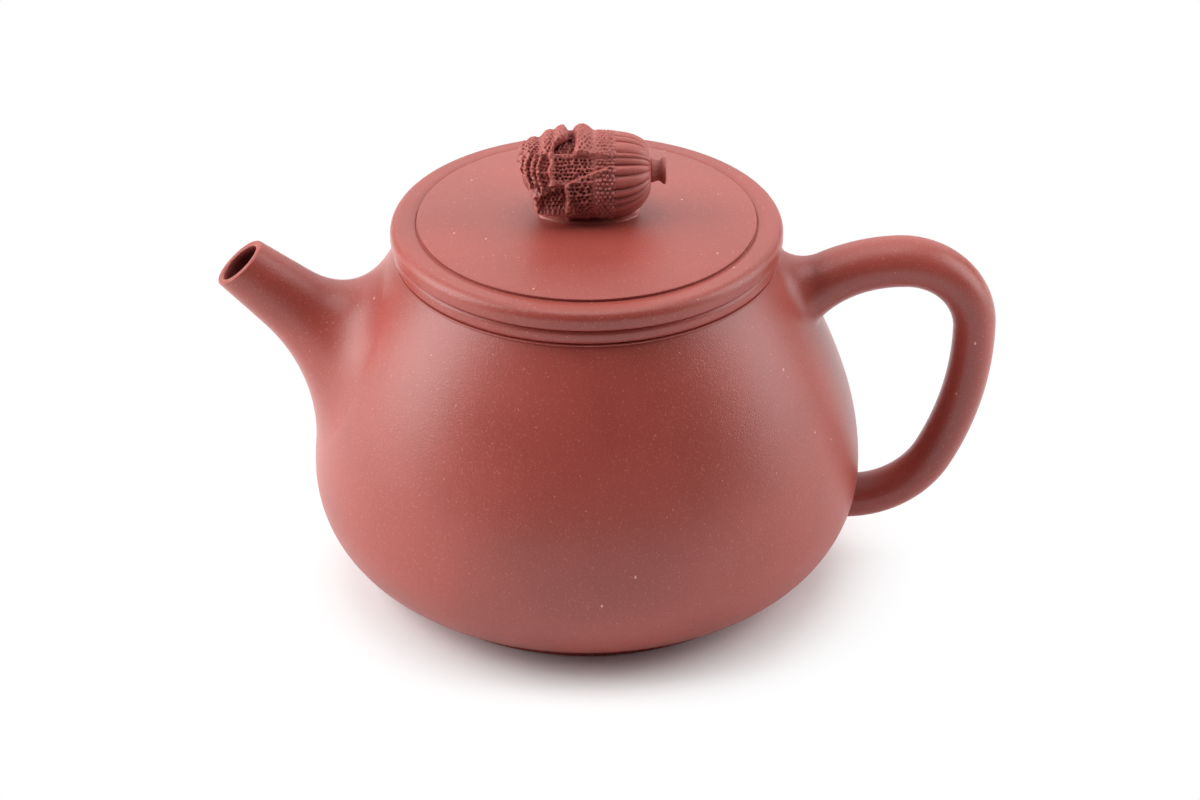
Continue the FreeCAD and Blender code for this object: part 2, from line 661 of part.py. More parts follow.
def rounded(small, large, run, length):
    """Return a radius that swells from small to large as a quarter ellipse."""
    short = max(1 - run / length, 0)
    return small + (large - small) * math.sqrt(1 - min(short, 1)**2)


def smooth_radius(run):
    """Return the cabbage's outer radius without ribs: round at the root and at the tip."""
    full = size("Dims.stalk_radius") + size("Dims.leaf_flare") * leaf_share(run)
    from_root = rounded(size("Dims.neck_radius"), full, run, size("Dims.stalk_run"))
    to_tip = size("Dims.knob_length") - run
    from_tip = rounded(size("Dims.tip_radius"), full, to_tip, size("Dims.tip_run"))
    return min(from_root, from_tip)


def ribbed_radius(run, angle):
    """Return the outer radius of a leaf: ribs on the stalk fade into ruffles at the tip."""
    crease = 1 - abs(math.sin(math.pi * angle / RIB_PITCH))
    ruffle = math.sin(math.pi * angle / RIB_PITCH)**2 - 0.5
    share = leaf_share(run)
    outer = smooth_radius(run)
    ribs = size("Dims.rib_depth") * crease * (1 - share) * outer / size("Dims.stalk_radius")
    return outer - ribs + size("Dims.ruffle_depth") * ruffle * share


def curve(points):
    """Return a smooth edge through points."""
    spline = Part.BSplineCurve()
    spline.interpolate(points)
    return spline.toShape()


def leaf_wire(run, first, last, count, lift):
    """Return the outline of a leaf's section: ribbed outside, round inside."""
    inner = smooth_radius(run) - size("Dims.leaf_thickness")
    angles = [first + (last - first) * step / count for step in range(count + 1)]
    outside = [knob_point(run, angle, ribbed_radius(run, angle) + lift) for angle in angles]
    middle = knob_point(run, (first + last) / 2, inner)
    inside = [knob_point(run, last, inner), middle, knob_point(run, first, inner)]
    return Part.Wire([
        curve(outside),
        Part.LineSegment(outside[-1], inside[0]).toShape(),
        Part.Arc(*inside).toShape(),
        Part.LineSegment(inside[-1], outside[0]).toShape(),
    ])


def stations(first_run, last_run):
    """Return runs for a loft, closer together where the root and the tip round off."""
    stalk = size("Dims.stalk_run")
    length = size("Dims.knob_length")
    tip = size("Dims.tip_run")
    steps = [step / END_STATION_COUNT for step in range(END_STATION_COUNT)]
    root_runs = [stalk * (1 - math.cos(math.pi / 2 * step)) for step in steps]
    middle_runs = [stalk + (length - tip - stalk) * step for step in steps]
    tip_runs = [length - tip * (1 - math.sin(math.pi / 2 * step)) for step in steps]
    least = STATION_GAP_RATIO * length
    between = [run for run in root_runs + middle_runs + tip_runs
               if first_run + least < run < last_run - least]
    return [first_run] + between + [last_run]


def solid_feature(label, shape):
    """Keep a shape as a document object."""
    feature = doc.addObject("Part::Feature", label)
    feature.Label = label
    feature.Shape = shape
    return feature


def leaf(label, first_rib, ribs, start, end, lift):
    """Make one leaf as a loft of ribbed sections, cut flat over the pad.

    The lift stands the leaf's start clear of the others and falls away to its end.
    """
    crease = size("Dims.slip_gap") / size("Dims.stalk_radius")
    first = first_rib * RIB_PITCH + crease
    last = (first_rib + ribs) * RIB_PITCH - crease
    start_run = size(start)
    end_run = size(end)
    wires = []
    for run in stations(start_run, end_run):
        raised = size(lift) * (end_run - run) / (end_run - start_run)
        wires.append(leaf_wire(run, first, last, ribs * RIB_POINT_COUNT, raised))
    blank = solid_feature(label + "_blank", Part.makeLoft(wires, True))
    return cut(label, blank, knob_floor)


knob_floor = doc.addObject("Part::Box", "knob_floor")
knob_floor.setExpression("Length", f"2 * {CAP_RADIUS}")
knob_floor.setExpression("Width", f"2 * {CAP_RADIUS}")
knob_floor.setExpression("Height", PAD_TOP)
knob_floor.Placement = FreeCAD.Placement(
    FreeCAD.Vector(-size(CAP_RADIUS), -size(CAP_RADIUS), 0), FreeCAD.Rotation())
doc.recompute()
leaves = [leaf(label, *LEAF_RIB_COUNTS[label], *runs) for label, runs in LEAF_RUNS.items()]


def heart_wire(run):
    """Return the heart's outline at a run: round under the leaves, folded at its tip."""
    folds = size("Dims.heart_fold_count")
    inner = smooth_radius(run) - size("Dims.leaf_thickness") - size("Dims.slip_gap")
    depth = size("Dims.heart_fold_depth") * leaf_share(run) * inner / size("Dims.stalk_radius")
    count = int(folds) * FOLD_POINT_COUNT
    points = []
    for step in range(count):
        angle = 2 * math.pi * step / count
        points.append(knob_point(run, angle, inner - depth * math.sin(folds * angle / 2)**2))
    spline = Part.BSplineCurve()
    spline.interpolate(points, PeriodicFlag=True)
    return Part.Wire([spline.toShape()])


heart_runs = stations(0, size("Dims.knob_length"))
heart_blank = solid_feature("heart_blank", Part.makeLoft([heart_wire(run) for run in heart_runs], True))
heart_flat = cut("heart_flat", heart_blank, knob_floor)
cabbage_heart = cut("cabbage_heart", heart_flat, vent)

# Root: a short waisted stub with a flat cut end
cabbage_root = turned("cabbage_root", [
    ("0", "0"),
    ("Dims.root_lip_radius", "0", "Dims.root_waist_arc", RIGHT),
    ("Dims.root_lip_radius", "Dims.root_length - Dims.root_lip"),
    ("Dims.root_lip_radius", "Dims.root_length"),
    ("0", "Dims.root_length"),
])
cabbage_root.Placement = FreeCAD.Placement(
    knob_point(0, 0, 0), FreeCAD.Rotation(FreeCAD.Vector(0, 1, 0), 90))
doc.recompute()

# Every piece is checked before any file is written
PIECES = [belly_wall, base_disc, foot_ring, mouth_ring, spout, strainer, handle,
          lid_plate, lid_cap, lid_flange, knob_pad, cabbage_heart, cabbage_root] + leaves
for item in doc.Objects:
    if "Invalid" in item.State or "Error" in item.State:
        raise RuntimeError(f"{item.Label} did not build: {item.State}")
for piece in PIECES:
    if piece.Shape.isNull() or not piece.Shape.isValid():
        raise RuntimeError(f"{piece.Label} has no valid shape")

os.makedirs("parts", exist_ok=True)
for piece in PIECES:
    piece.Shape.exportStep(f"parts/{piece.Label}.step")
    print(f"{piece.Label}: {len(piece.Shape.Solids)} solid, {piece.Shape.Volume:.1f} mm3")
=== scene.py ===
"""Looks of a small unglazed clay teapot whose lid carries a cabbage as its knob.

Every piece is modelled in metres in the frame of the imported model. The spout points
along -X, the handle along +X, and the camera looks along +Y.
"""

import logging
import math
from dataclasses import dataclass, field
from enum import Enum
from typing import Any, Callable, Optional, Union

import bpy
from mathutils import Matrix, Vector


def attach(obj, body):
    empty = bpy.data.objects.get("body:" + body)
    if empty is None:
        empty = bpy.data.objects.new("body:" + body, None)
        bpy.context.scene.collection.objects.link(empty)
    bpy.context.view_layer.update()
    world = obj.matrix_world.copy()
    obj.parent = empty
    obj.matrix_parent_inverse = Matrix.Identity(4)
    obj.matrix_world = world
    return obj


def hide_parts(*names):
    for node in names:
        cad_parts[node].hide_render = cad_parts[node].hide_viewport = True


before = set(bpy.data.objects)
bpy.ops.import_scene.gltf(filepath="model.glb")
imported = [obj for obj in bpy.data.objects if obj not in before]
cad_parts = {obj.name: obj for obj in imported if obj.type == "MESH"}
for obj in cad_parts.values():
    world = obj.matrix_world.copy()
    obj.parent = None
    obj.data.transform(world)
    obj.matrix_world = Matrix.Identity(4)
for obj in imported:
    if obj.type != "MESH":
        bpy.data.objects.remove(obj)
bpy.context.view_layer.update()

MM = 0.001
WELD = 0.0005 * MM
# The point attribute of painted shade: it darkens the clay in pits, creases, the spout's bore and under the
# leaves.
PAINTED_SHADE = "hollow"
LOG = logging.getLogger("teapot")
SCATTER = (12.9898, 78.233, 37.719, 43758.5453)
WHITE = (1.0, 1.0, 1.0, 1.0)

Mesh = bpy.types.Object
Rows = list[list[Vector]]
Number = Union[float, "Value"]


class Body(Enum):
    """The two bodies that the joint moves apart."""

    POT = "pot"
    LID = "lid"


class Slot(Enum):
    """The record's material slots."""

    BODY = "body_clay"
    LID = "lid_clay"
    KNOB = "knob_clay"
    INSIDE = "inside_clay"
    SLIP = "slip_clay"


class Crease(Enum):
    """The angle in degrees beyond which a piece's edges stay sharp."""

    WALL = 32.0
    EDGED = 40.0
    ROLLED = 50.0
    LEAF = 60.0


def lerp(first: float, last: float, share: float) -> float:
    """Return the value that lies a share of the way from first to last."""
    return first + (last - first) * share


def smoothstep(low: float, high: float, value: float) -> float:
    """Return 0 below low, 1 above high and a smooth rise between them."""
    share = min(max((value - low) / (high - low), 0.0), 1.0)
    return share * share * (3.0 - 2.0 * share)


def scatter(first: int, second: int, salt: float = 0.0) -> float:
    """Return a fixed number from 0 to 1 that looks random for a pair of counts."""
    mixed = first * SCATTER[0] + second * SCATTER[1] + salt * SCATTER[2]
    return math.sin(mixed) * SCATTER[3] % 1.0


def bezier(points: tuple[Vector, Vector, Vector, Vector], share: float) -> Vector:
    """Return a point of a cubic curve."""
    rest = 1.0 - share
    return (points[0] * rest**3 + points[1] * 3.0 * rest**2 * share
            + points[2] * 3.0 * rest * share**2 + points[3] * share**3)


class Bench:
    """Modelling operators, used on one new piece at a time."""

    @staticmethod
    def clear() -> None:
        """Deselect every object."""
        for item in list(bpy.context.selected_objects):
            item.select_set(False)

    @staticmethod
    def select(piece: Mesh) -> None:
        """Select one piece alone."""
        Bench.clear()
        piece.select_set(True)
        bpy.context.view_layer.objects.active = piece

    @staticmethod
    def weld(piece: Mesh) -> None:
        """Merge doubled points and turn all faces outwards."""
        Bench.select(piece)
        bpy.ops.object.mode_set(mode="EDIT")
        bpy.ops.mesh.select_all(action="SELECT")
        bpy.ops.mesh.remove_doubles(threshold=WELD)
        bpy.ops.mesh.normals_make_consistent(inside=False)
        bpy.ops.object.mode_set(mode="OBJECT")

    @staticmethod
    def sheet(name: str, rows: Rows, painted_shades: Optional[list[list[float]]] = None) -> Mesh:
        """Lay a grid of clay over rows of points and weld the edges that meet.

        Args:
            name: The piece's name.
            rows: Rows of points, all of the same length.
            painted_shades: How hollow each point lies, from 0 to 1, which sets the painted shade that
                darkens the clay.

        Returns:
            The new piece.
        """
        Bench.clear()
        across = len(rows[0]) - 1
        along = len(rows) - 1
        bpy.ops.mesh.primitive_grid_add(x_subdivisions=across, y_subdivisions=along, size=2.0)
        piece = bpy.context.active_object
        piece.name = name
        shade = piece.data.attributes.new(PAINTED_SHADE, "FLOAT", "POINT") if painted_shades else None
        for vertex in piece.data.vertices:
            column = round((vertex.co.x + 1.0) / 2.0 * across)
            row = round((vertex.co.y + 1.0) / 2.0 * along)
            vertex.co = rows[row][column]
            if shade:
                shade.data[vertex.index].value = painted_shades[row][column]
        Bench.weld(piece)
        return piece

    @staticmethod
    def turned(name: str, outline: list[Vector], steps: int) -> Mesh:
        """Turn a closed outline about the Z axis.

        Args:
            name: The piece's name.
            outline: Points in the XZ plane, in order round the outline.
            steps: Faces round the axis.

        Returns:
            The new piece.
        """
        Bench.clear()
        bpy.ops.mesh.primitive_circle_add(vertices=len(outline), radius=1.0)
        piece = bpy.context.active_object
        piece.name = name
        for vertex, place in zip(piece.data.vertices, outline):
            vertex.co = place
        turn = piece.modifiers.new("turn", "SCREW")
        turn.axis = "Z"
        turn.angle = math.tau
        turn.steps = turn.render_steps = steps
        bpy.ops.object.modifier_apply(modifier=turn.name)
        Bench.weld(piece)
        return piece

    @staticmethod
    def bore(piece: Mesh, start: Vector, end: Vector, radius: float, sides: int = 48) -> None:
        """Drill a round hole through a piece from one point to another."""
        Bench.clear()
        way = end - start
        bpy.ops.mesh.primitive_cylinder_add(
            vertices=sides, radius=radius, depth=way.length, location=(start + end) / 2,
            rotation=way.to_track_quat("Z", "Y").to_euler())
        tool = bpy.context.active_object
        Bench.clear()
        bpy.context.view_layer.objects.active = piece
        drill = piece.modifiers.new("drill", "BOOLEAN")
        drill.operation = "DIFFERENCE"
        drill.object = tool
        bpy.ops.object.modifier_apply(modifier=drill.name)
        bpy.data.objects.remove(tool)

    @staticmethod
    def smooth(piece: Mesh, crease: Crease) -> None:
        """Shade a piece smooth, apart from edges sharper than its crease."""
        Bench.select(piece)
        bpy.ops.object.shade_smooth_by_angle(angle=math.radians(crease.value))


class Outline:
    """A closed outline in the XZ plane, drawn with straight lines and arcs."""

    def __init__(self, radius: float, height: float) -> None:
        """Start the outline at a radius and a height."""
        self.points = [Vector((radius, 0.0, height))]

    def line(self, radius: float, height: float, steps: int = 1) -> "Outline":
        """Draw a straight line to a point."""
        start = self.points[-1].copy()
        end = Vector((radius, 0.0, height))
        for step in range(1, steps + 1):
            self.points.append(start.lerp(end, step / steps))
        return self

    def arc(self, radius: float, height: float, bend: float, steps: int = 8) -> "Outline":
        """Draw an arc to a point.

        Args:
            radius: The end's distance from the axis.
            height: The end's height.
            bend: The arc's radius, positive where its centre lies to the left.
            steps: Straight pieces along the arc.

        Returns:
            The outline, for the next stroke.
        """
        start = self.points[-1].copy()
        end = Vector((radius, 0.0, height))
        chord = end - start
        across = Vector((-chord.z, 0.0, chord.x)).normalized()
        reach = math.sqrt(max(bend * bend - chord.length_squared / 4.0, 0.0))
        centre = (start + end) / 2.0 + across * math.copysign(reach, bend)
        first = math.atan2(start.z - centre.z, start.x - centre.x)
        sweep = 2.0 * math.asin(min(chord.length / 2.0 / abs(bend), 1.0)) * math.copysign(1.0, bend)
        for step in range(1, steps + 1):
            angle = first + sweep * step / steps
            turn = Vector((math.cos(angle), 0.0, math.sin(angle)))
            self.points.append(centre + turn * abs(bend))
        return self

    def closed(self) -> list[Vector]:
        """Return the outline's points, without a last one that repeats the first."""
        if (self.points[-1] - self.points[0]).length < WELD:
            return self.points[:-1]
        return self.points


class Value:
    """A shader value: arithmetic on it adds Math nodes to its tree."""

    def __init__(self, shader: "Shader", socket: Any) -> None:
        """Wrap an output socket."""
        self.shader = shader
        self.socket = socket

    def _math(self, operation: str, first: Number, second: Number) -> "Value":
        """Return the result of a Math node."""
        node = self.shader.node("ShaderNodeMath", {"operation": operation}, {0: first, 1: second})
        return Value(self.shader, node.outputs[0])

    def __add__(self, other: Number) -> "Value":
        """Add a value."""
        return self._math("ADD", self, other)

    def __sub__(self, other: Number) -> "Value":
        """Take a value away."""
        return self._math("SUBTRACT", self, other)

    def __rsub__(self, other: Number) -> "Value":
        """Take this away from a value."""
        return self._math("SUBTRACT", other, self)

    def __mul__(self, other: Number) -> "Value":
        """Multiply by a value."""
        return self._math("MULTIPLY", self, other)

    def above(self, limit: float) -> "Value":
        """Return 1 where this passes a limit and 0 elsewhere."""
        return self._math("GREATER_THAN", self, limit)

    def ramp(self, low: float, high: float) -> "Value":
        """Return a smooth rise from 0 at low to 1 at high."""
        node = self.shader.node("ShaderNodeMapRange", {"interpolation_type": "SMOOTHSTEP"},
                                {"Value": self, "From Min": low, "From Max": high})
        return Value(self.shader, node.outputs[0])


@dataclass(frozen=True)
class Speck:
    """A kind of speck: the space between places for one, its radius and how strongly it colours."""

    spacing: float
    radius: float
    strength: float
    core: float = 0.5


class Shader:
    """A material's node tree, with one method that adds its nodes."""

    def __init__(self, name: str) -> None:
        """Start a material with one surface shader."""
        self.material = bpy.data.materials.new(name)
        self.material.use_nodes = True
        self.tree = self.material.node_tree
        self.surface = self.tree.nodes["Principled BSDF"]
        self.output = self.tree.nodes["Material Output"]

    def node(self, kind: str, settings: dict[str, Any], inputs: dict[Any, Any]) -> Any:
        """Add a node.

        Args:
            kind: The node's type.
            settings: Its own properties, set first.
            inputs: Values or links for its sockets, by name or number.

        Returns:
            The node.
        """
        made = self.tree.nodes.new(kind)
        for name, setting in settings.items():
            setattr(made, name, setting)
        for key, entry in inputs.items():
            self.feed(made.inputs[key], entry)
        return made

    def feed(self, socket: Any, entry: Any) -> None:
        """Link a socket to a value or an output, or set its constant."""
        if isinstance(entry, Value):
            self.tree.links.new(entry.socket, socket)
        elif isinstance(entry, bpy.types.NodeSocket):
            self.tree.links.new(entry, socket)
        else:
            socket.default_value = entry

    def place(self, stretch: tuple[float, float, float] = (1.0, 1.0, 1.0)) -> Any:
        """Return the piece's own coordinates, stretched along its axes."""
        where = self.node("ShaderNodeTexCoord", {}, {}).outputs["Object"]
        return self.node("ShaderNodeMapping", {}, {"Vector": where, "Scale": stretch}).outputs[0]

    def noise(self, where: Any, size: float, detail: float = 2.0) -> Value:
        """Return cloudy noise whose lumps have a size in metres."""
        made = self.node("ShaderNodeTexNoise", {},
                         {"Vector": where, "Scale": 1.0 / size, "Detail": detail})
        return Value(self, made.outputs[0])

    def specks(self, where: Any, speck: Speck, share: float) -> Value:
        """Return small round specks, 1 inside and 0 outside.

        Args:
            where: The coordinates they lie in.
            speck: Their kind.
            share: The share of places that hold one.

        Returns:
            The specks' mask.
        """
        size = speck.radius / speck.spacing
        cells = self.node("ShaderNodeTexVoronoi", {}, {"Vector": where, "Scale": 1.0 / speck.spacing})
        near = Value(self, cells.outputs["Distance"])
        chance = self.node("ShaderNodeSeparateColor", {}, {"Color": cells.outputs["Color"]})
        held = Value(self, chance.outputs[0]).above(1.0 - share)
        return (1.0 - near.ramp(speck.core * size, size)) * held

    def mix(self, share: Number, first: Any, second: Any) -> Any:
        """Return a colour mixed from two colours."""
        made = self.node("ShaderNodeMix", {"data_type": "RGBA"}, {0: share, 6: first, 7: second})
        return made.outputs[2]


Colour = tuple[float, float, float, float]


@dataclass(frozen=True)
class Clay:
    """Fired clay without a glaze: fine grain, pale and dark specks, a soft sheen and painted shade in its
    hollows.
    """

    name: str
    colour: Colour = (0.282, 0.048, 0.036, 1.0)
    cloud_colour: Colour = (0.325, 0.055, 0.042, 1.0)
    speck_colour: Colour = (0.68, 0.36, 0.25, 1.0)
    pore_colour: Colour = (0.10, 0.018, 0.014, 1.0)
    # Painted shade: the near-black colour laid into the hollows that a piece marks, and how far it goes.
    painted_shade_colour: Colour = (0.075, 0.010, 0.009, 1.0)
    painted_shade_share: float = 0.75
    cloud_size: float = 24.0 * MM
    cloud_detail: float = 3.0
    cloud_range: tuple[float, float] = (0.35, 0.68)
    grain_size: float = 0.32 * MM
    grain_range: tuple[float, float] = (0.55, 0.85)
    grain_share: float = 0.30
    pale: Speck = Speck(1.0 * MM, 0.12 * MM, 0.75)
    chip: Speck = Speck(2.7 * MM, 0.24 * MM, 0.85)
    chip_stretch: tuple[float, float, float] = (1.0, 1.0, 0.6)
    pore: Speck = Speck(0.8 * MM, 0.13 * MM, 0.80)
    speck_share: float = 0.10
    chip_share: float = 0.08
    pore_share: float = 0.05
    roughness: float = 0.39
    roughness_spread: float = 0.10
    specular: float = 0.50
    grain_depth: float = 0.042 * MM
    stroke_depth: float = 0.010 * MM
    stroke: tuple[float, float, float] = (0.12, 0.12, 1.0)
    stroke_size: float = 0.9 * MM

    def material(self) -> bpy.types.Material:
        """Build the material and return it."""
        shader = Shader(self.name)
        where = shader.place()
        cloud = shader.noise(where, self.cloud_size, self.cloud_detail)
        grain = shader.noise(where, self.grain_size)
        stroke = shader.noise(shader.place(self.stroke), self.stroke_size)
        pale = shader.specks(where, self.pale, self.speck_share)
        chip = shader.specks(shader.place(self.chip_stretch), self.chip, self.chip_share)
        pore = shader.specks(where, self.pore, self.pore_share)
        # Painted shade from the pieces' hollow marks darkens the clay.
        mark = shader.node("ShaderNodeAttribute", {"attribute_name": PAINTED_SHADE}, {})
        hollow = Value(shader, mark.outputs["Fac"])
        colour = shader.mix(cloud.ramp(*self.cloud_range), self.colour, self.cloud_colour)
        for share, tint in ((grain.ramp(*self.grain_range) * self.grain_share, self.speck_colour),
                            (pale * self.pale.strength, self.speck_colour),
                            (chip * self.chip.strength, self.speck_colour),
                            (pore * self.pore.strength, self.pore_colour),
                            (hollow * self.painted_shade_share, self.painted_shade_colour)):
            colour = shader.mix(share, colour, tint)
        rough = (grain + cloud - 1.0) * self.roughness_spread + self.roughness
        relief = grain * self.grain_depth + stroke * self.stroke_depth - pore * self.grain_depth
        bump = shader.node("ShaderNodeBump", {}, {"Strength": 1.0, "Distance": 1.0, "Height": relief})
        shader.feed(shader.surface.inputs["Base Color"], colour)
        shader.feed(shader.surface.inputs["Roughness"], rough)
        shader.feed(shader.surface.inputs["Normal"], bump.outputs[0])
        shader.feed(shader.surface.inputs["Specular IOR Level"], self.specular)
        return shader.material


@dataclass
class Finishes:
    """The clays that the pieces are dressed in."""

    wall: bpy.types.Material = field(init=False)
    lid: bpy.types.Material = field(init=False)
    knob: bpy.types.Material = field(init=False)
    inside: bpy.types.Material = field(init=False)
    slip: bpy.types.Material = field(init=False)

    def __post_init__(self) -> None:
        """Build every clay once."""
        self.wall = Clay("wall_clay", painted_shade_share=0.9).material()
        self.lid = Clay("lid_clay", stroke=(1.0, 1.0, 1.0), stroke_size=0.6 * MM,
                        speck_share=0.24, chip_share=0.16).material()
        self.knob = Clay("knob_clay", colour=(0.33, 0.069, 0.056, 1.0),
                         cloud_colour=(0.37, 0.083, 0.068, 1.0), roughness=0.48, painted_shade_share=0.7,
                         stroke_depth=0.0, grain_depth=0.012 * MM).material()
        # The pieces inside the pot and under the lid get a darker copy of the clay, as painted shade, and a
        # rougher finish.
        self.inside = Clay("inside_clay", colour=(0.20, 0.034, 0.027, 1.0), roughness=0.62,
                           grain_depth=0.05 * MM).material()
        self.slip = Clay("slip_clay", colour=(0.36, 0.085, 0.070, 1.0), roughness=0.36,
                         stroke_depth=0.0).material()


def paint(piece: Mesh, clay: bpy.types.Material) -> None:
    """Give a piece one clay in place of what it had."""
    piece.data.materials.clear()
    piece.data.materials.append(clay)


def dress(piece: Mesh, crease: Crease, clay: bpy.types.Material, body: Body, slot: Slot, node: str) -> None:
    """Smooth a piece, give it its clay and set it on its body in place of its solid.

    Args:
        piece: The finished mesh.
        crease: The angle beyond which its edges stay sharp.
        clay: The material.
        body: The body that it moves with.
        slot: The record's material slot; not used.
        node: The solid that it stands for.
    """
    Bench.smooth(piece, crease)
    paint(piece, clay)
    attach(piece, body.value)
    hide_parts(node)
    LOG.info("%s: %d faces", piece.name, len(piece.data.polygons))


@dataclass(frozen=True)
class Wall:
    """The wall's outer face: a heel, a belly and a shoulder arc turned about the Z axis."""

    belly_radius: float = 46.0 * MM
    belly_height: float = 19.2 * MM
    heel_arc: float = 18.6 * MM
    belly_arc: float = 48.0 * MM
    shoulder_height: float = 33.0 * MM
    shoulder_arc: float = 82.0 * MM
    foot_height: float = 1.6 * MM
    rim_height: float = 58.0 * MM
    thickness: float = 2.6 * MM
    base_radius: float = 31.0 * MM
    normal_step: float = 0.01 * MM

    def _arc(self, height: float) -> tuple[float, float, float]:
        """Return the centre's radius and height and the radius of the arc at a height."""
        if height < self.belly_height:
            return self.belly_radius - self.heel_arc, self.belly_height, self.heel_arc
        centre = self.belly_radius - self.belly_arc
        if height < self.shoulder_height:
            return centre, self.belly_height, self.belly_arc
        rise = (self.shoulder_height - self.belly_height) / self.belly_arc
        out = math.sqrt(1.0 - rise * rise)
        shorter = self.belly_arc - self.shoulder_arc
        return centre + shorter * out, self.belly_height + shorter * rise, self.shoulder_arc

    def radius(self, height: float, inset: float = 0.0) -> float:
        """Return the wall's radius at a height, or that of a face inside it."""
        centre, middle, arc = self._arc(height)
        return centre + math.sqrt(max((arc - inset)**2 - (height - middle)**2, 0.0))

    def depth(self, place: Vector) -> float:
        """Return how far a point lies inside the wall's outer face, along its radius."""
        return self.radius(place.z) - math.hypot(place.x, place.y)

    def onto(self, place: Vector, sink: float = 0.0) -> Vector:
        """Return a point moved along its radius onto the wall, or just under its face."""
        radius = self.radius(place.z) - sink
        share = radius / math.hypot(place.x, place.y)
        return Vector((place.x * share, place.y * share, place.z))

    def normal(self, place: Vector) -> Vector:
        """Return the wall's outward normal beside a point."""
        slope = (self.radius(place.z + self.normal_step)
                 - self.radius(place.z - self.normal_step)) / (2.0 * self.normal_step)
        out = Vector((place.x, place.y, 0.0)).normalized()
        return (out - Vector((0.0, 0.0, slope))).normalized()


@dataclass(frozen=True)
class Fillet:
    """A smooth join between a limb and the wall."""

    wall: Wall
    sink: float = 0.03 * MM
    pull: float = 0.62
    steps: int = 20
    search: int = 44

    def landing(self, follow: Callable[[float], Vector], near: float, far: float) -> float:
        """Return where a line along a limb meets the wall.

        Args:
            follow: The line's point at a distance along the limb.
            near: A distance outside the wall.
            far: A distance inside it.

        Returns:
            The distance at the wall's face.
        """
        for _ in range(self.search):
            middle = (near + far) / 2.0
            if self.wall.depth(follow(middle)) > 0.0:
                far = middle
            else:
                near = middle
        return (near + far) / 2.0

    def curve(self, follow: Callable[[float], Vector], hit: float, back: float, spread: float,
              away: Vector) -> list[Vector]:
        """Return the join's points from the limb to the wall.

        Args:
            follow: The limb's line.
            hit: The distance at which that line meets the wall.
            back: How far before the wall the join leaves the limb.
            spread: How far along the wall it runs out.
            away: The direction away from the limb's axis.

        Returns:
            Points from the limb to the wall.
        """
        meeting = follow(hit)
        start = follow(hit - back)
        normal = self.wall.normal(meeting)
        outwards = (away - normal * away.dot(normal)).normalized()
        end = self.wall.onto(meeting + outwards * spread, self.sink)
        tangent = end - meeting
        end_normal = self.wall.normal(end)
        tangent = (tangent - end_normal * tangent.dot(end_normal)).normalized()
        along = (meeting - start).normalized()
        hull = (start, start + along * back * self.pull, end - tangent * spread * self.pull, end)
        return [bezier(hull, step / self.steps) for step in range(self.steps + 1)]


@dataclass
class Pot:
    """The pot's turned wall and mouth ring, and the solids that keep their shape."""

    wall: Wall
    finishes: Finishes
    spout: "Spout"
    turn_steps: int = 224
    outer_steps: int = 78
    inner_steps: int = 52
    ring_radius: float = 32.0 * MM
    ring_thickness: float = 3.0 * MM
    ring_round: float = 1.0 * MM
    round_ease: float = 1.1
    ring_bead: float = 0.17 * MM
    neck_slope: float = 0.4
    bead_radius: float = 31.68 * MM
    mouth_radius: float = 26.4 * MM
    mouth_round: float = 0.5 * MM
    seat_radius: float = 8.2 * MM
    seat_length: float = 30.0 * MM

    def build_wall(self) -> None:
        """Turn the wall, drill the strainer's seat and dress it."""
        wall = self.wall
        outline = Outline(wall.base_radius, wall.foot_height)
        for first, last, steps, inset in (
                (wall.foot_height, wall.rim_height, self.outer_steps, 0.0),
                (wall.rim_height, self.inner_foot(), self.inner_steps, wall.thickness)):
            for step in range(steps + 1):
                height = lerp(first, last, step / steps)
                outline.line(wall.radius(height, inset), height)
        outline.line(wall.base_radius, wall.foot_height)
        piece = Bench.turned("belly", outline.closed(), self.turn_steps)
        inside, tip = self.spout.axis_point(self.seat_length), self.spout.axis_point(0.0)
        Bench.bore(piece, inside, tip, self.seat_radius)
        dress(piece, Crease.WALL, self.finishes.wall, Body.POT, Slot.BODY, "belly_wall")

    def inner_foot(self) -> float:
        """Return the height at which the wall's inner face meets the base disc."""
        wall = self.wall
        reach = wall.base_radius - (wall.belly_radius - wall.heel_arc)
        return wall.belly_height - math.sqrt((wall.heel_arc - wall.thickness)**2 - reach**2)

    def build_mouth_ring(self) -> None:
        """Turn the ring round the mouth, with a fine bead under its outer face, and dress it."""
        foot = self.wall.rim_height
        top = foot + self.ring_thickness
        inner, outer, bead = self.mouth_radius, self.ring_radius, self.ring_bead
        neck = foot + 2.0 * bead
        outline = Outline(inner, foot)
        outline.line(self.bead_radius, foot, steps=3)
        outline.arc(self.bead_radius, neck, bead)
        outline.line(self.bead_radius - 2.0 * bead, neck + self.neck_slope * bead)
        outline.arc(outer, neck + self.ring_round, self.round_ease * self.ring_round)
        outline.line(outer, top - self.ring_round, steps=2)
        outline.arc(outer - self.ring_round, top, self.ring_round)
        outline.line(inner + self.mouth_round, top, steps=3)
        outline.arc(inner, top - self.mouth_round, self.mouth_round, steps=5)
        piece = Bench.turned("mouth_rim", outline.closed(), self.turn_steps)
        dress(piece, Crease.EDGED, self.finishes.wall, Body.POT, Slot.BODY, "mouth_ring")

    def dress_solids(self) -> None:
        """Dress the pieces whose solids already have their final shape."""
        clays = {"base_disc": self.finishes.inside, "foot_ring": self.finishes.wall,
                 "strainer": self.finishes.inside}
        for node, clay in clays.items():
            paint(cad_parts[node], clay)


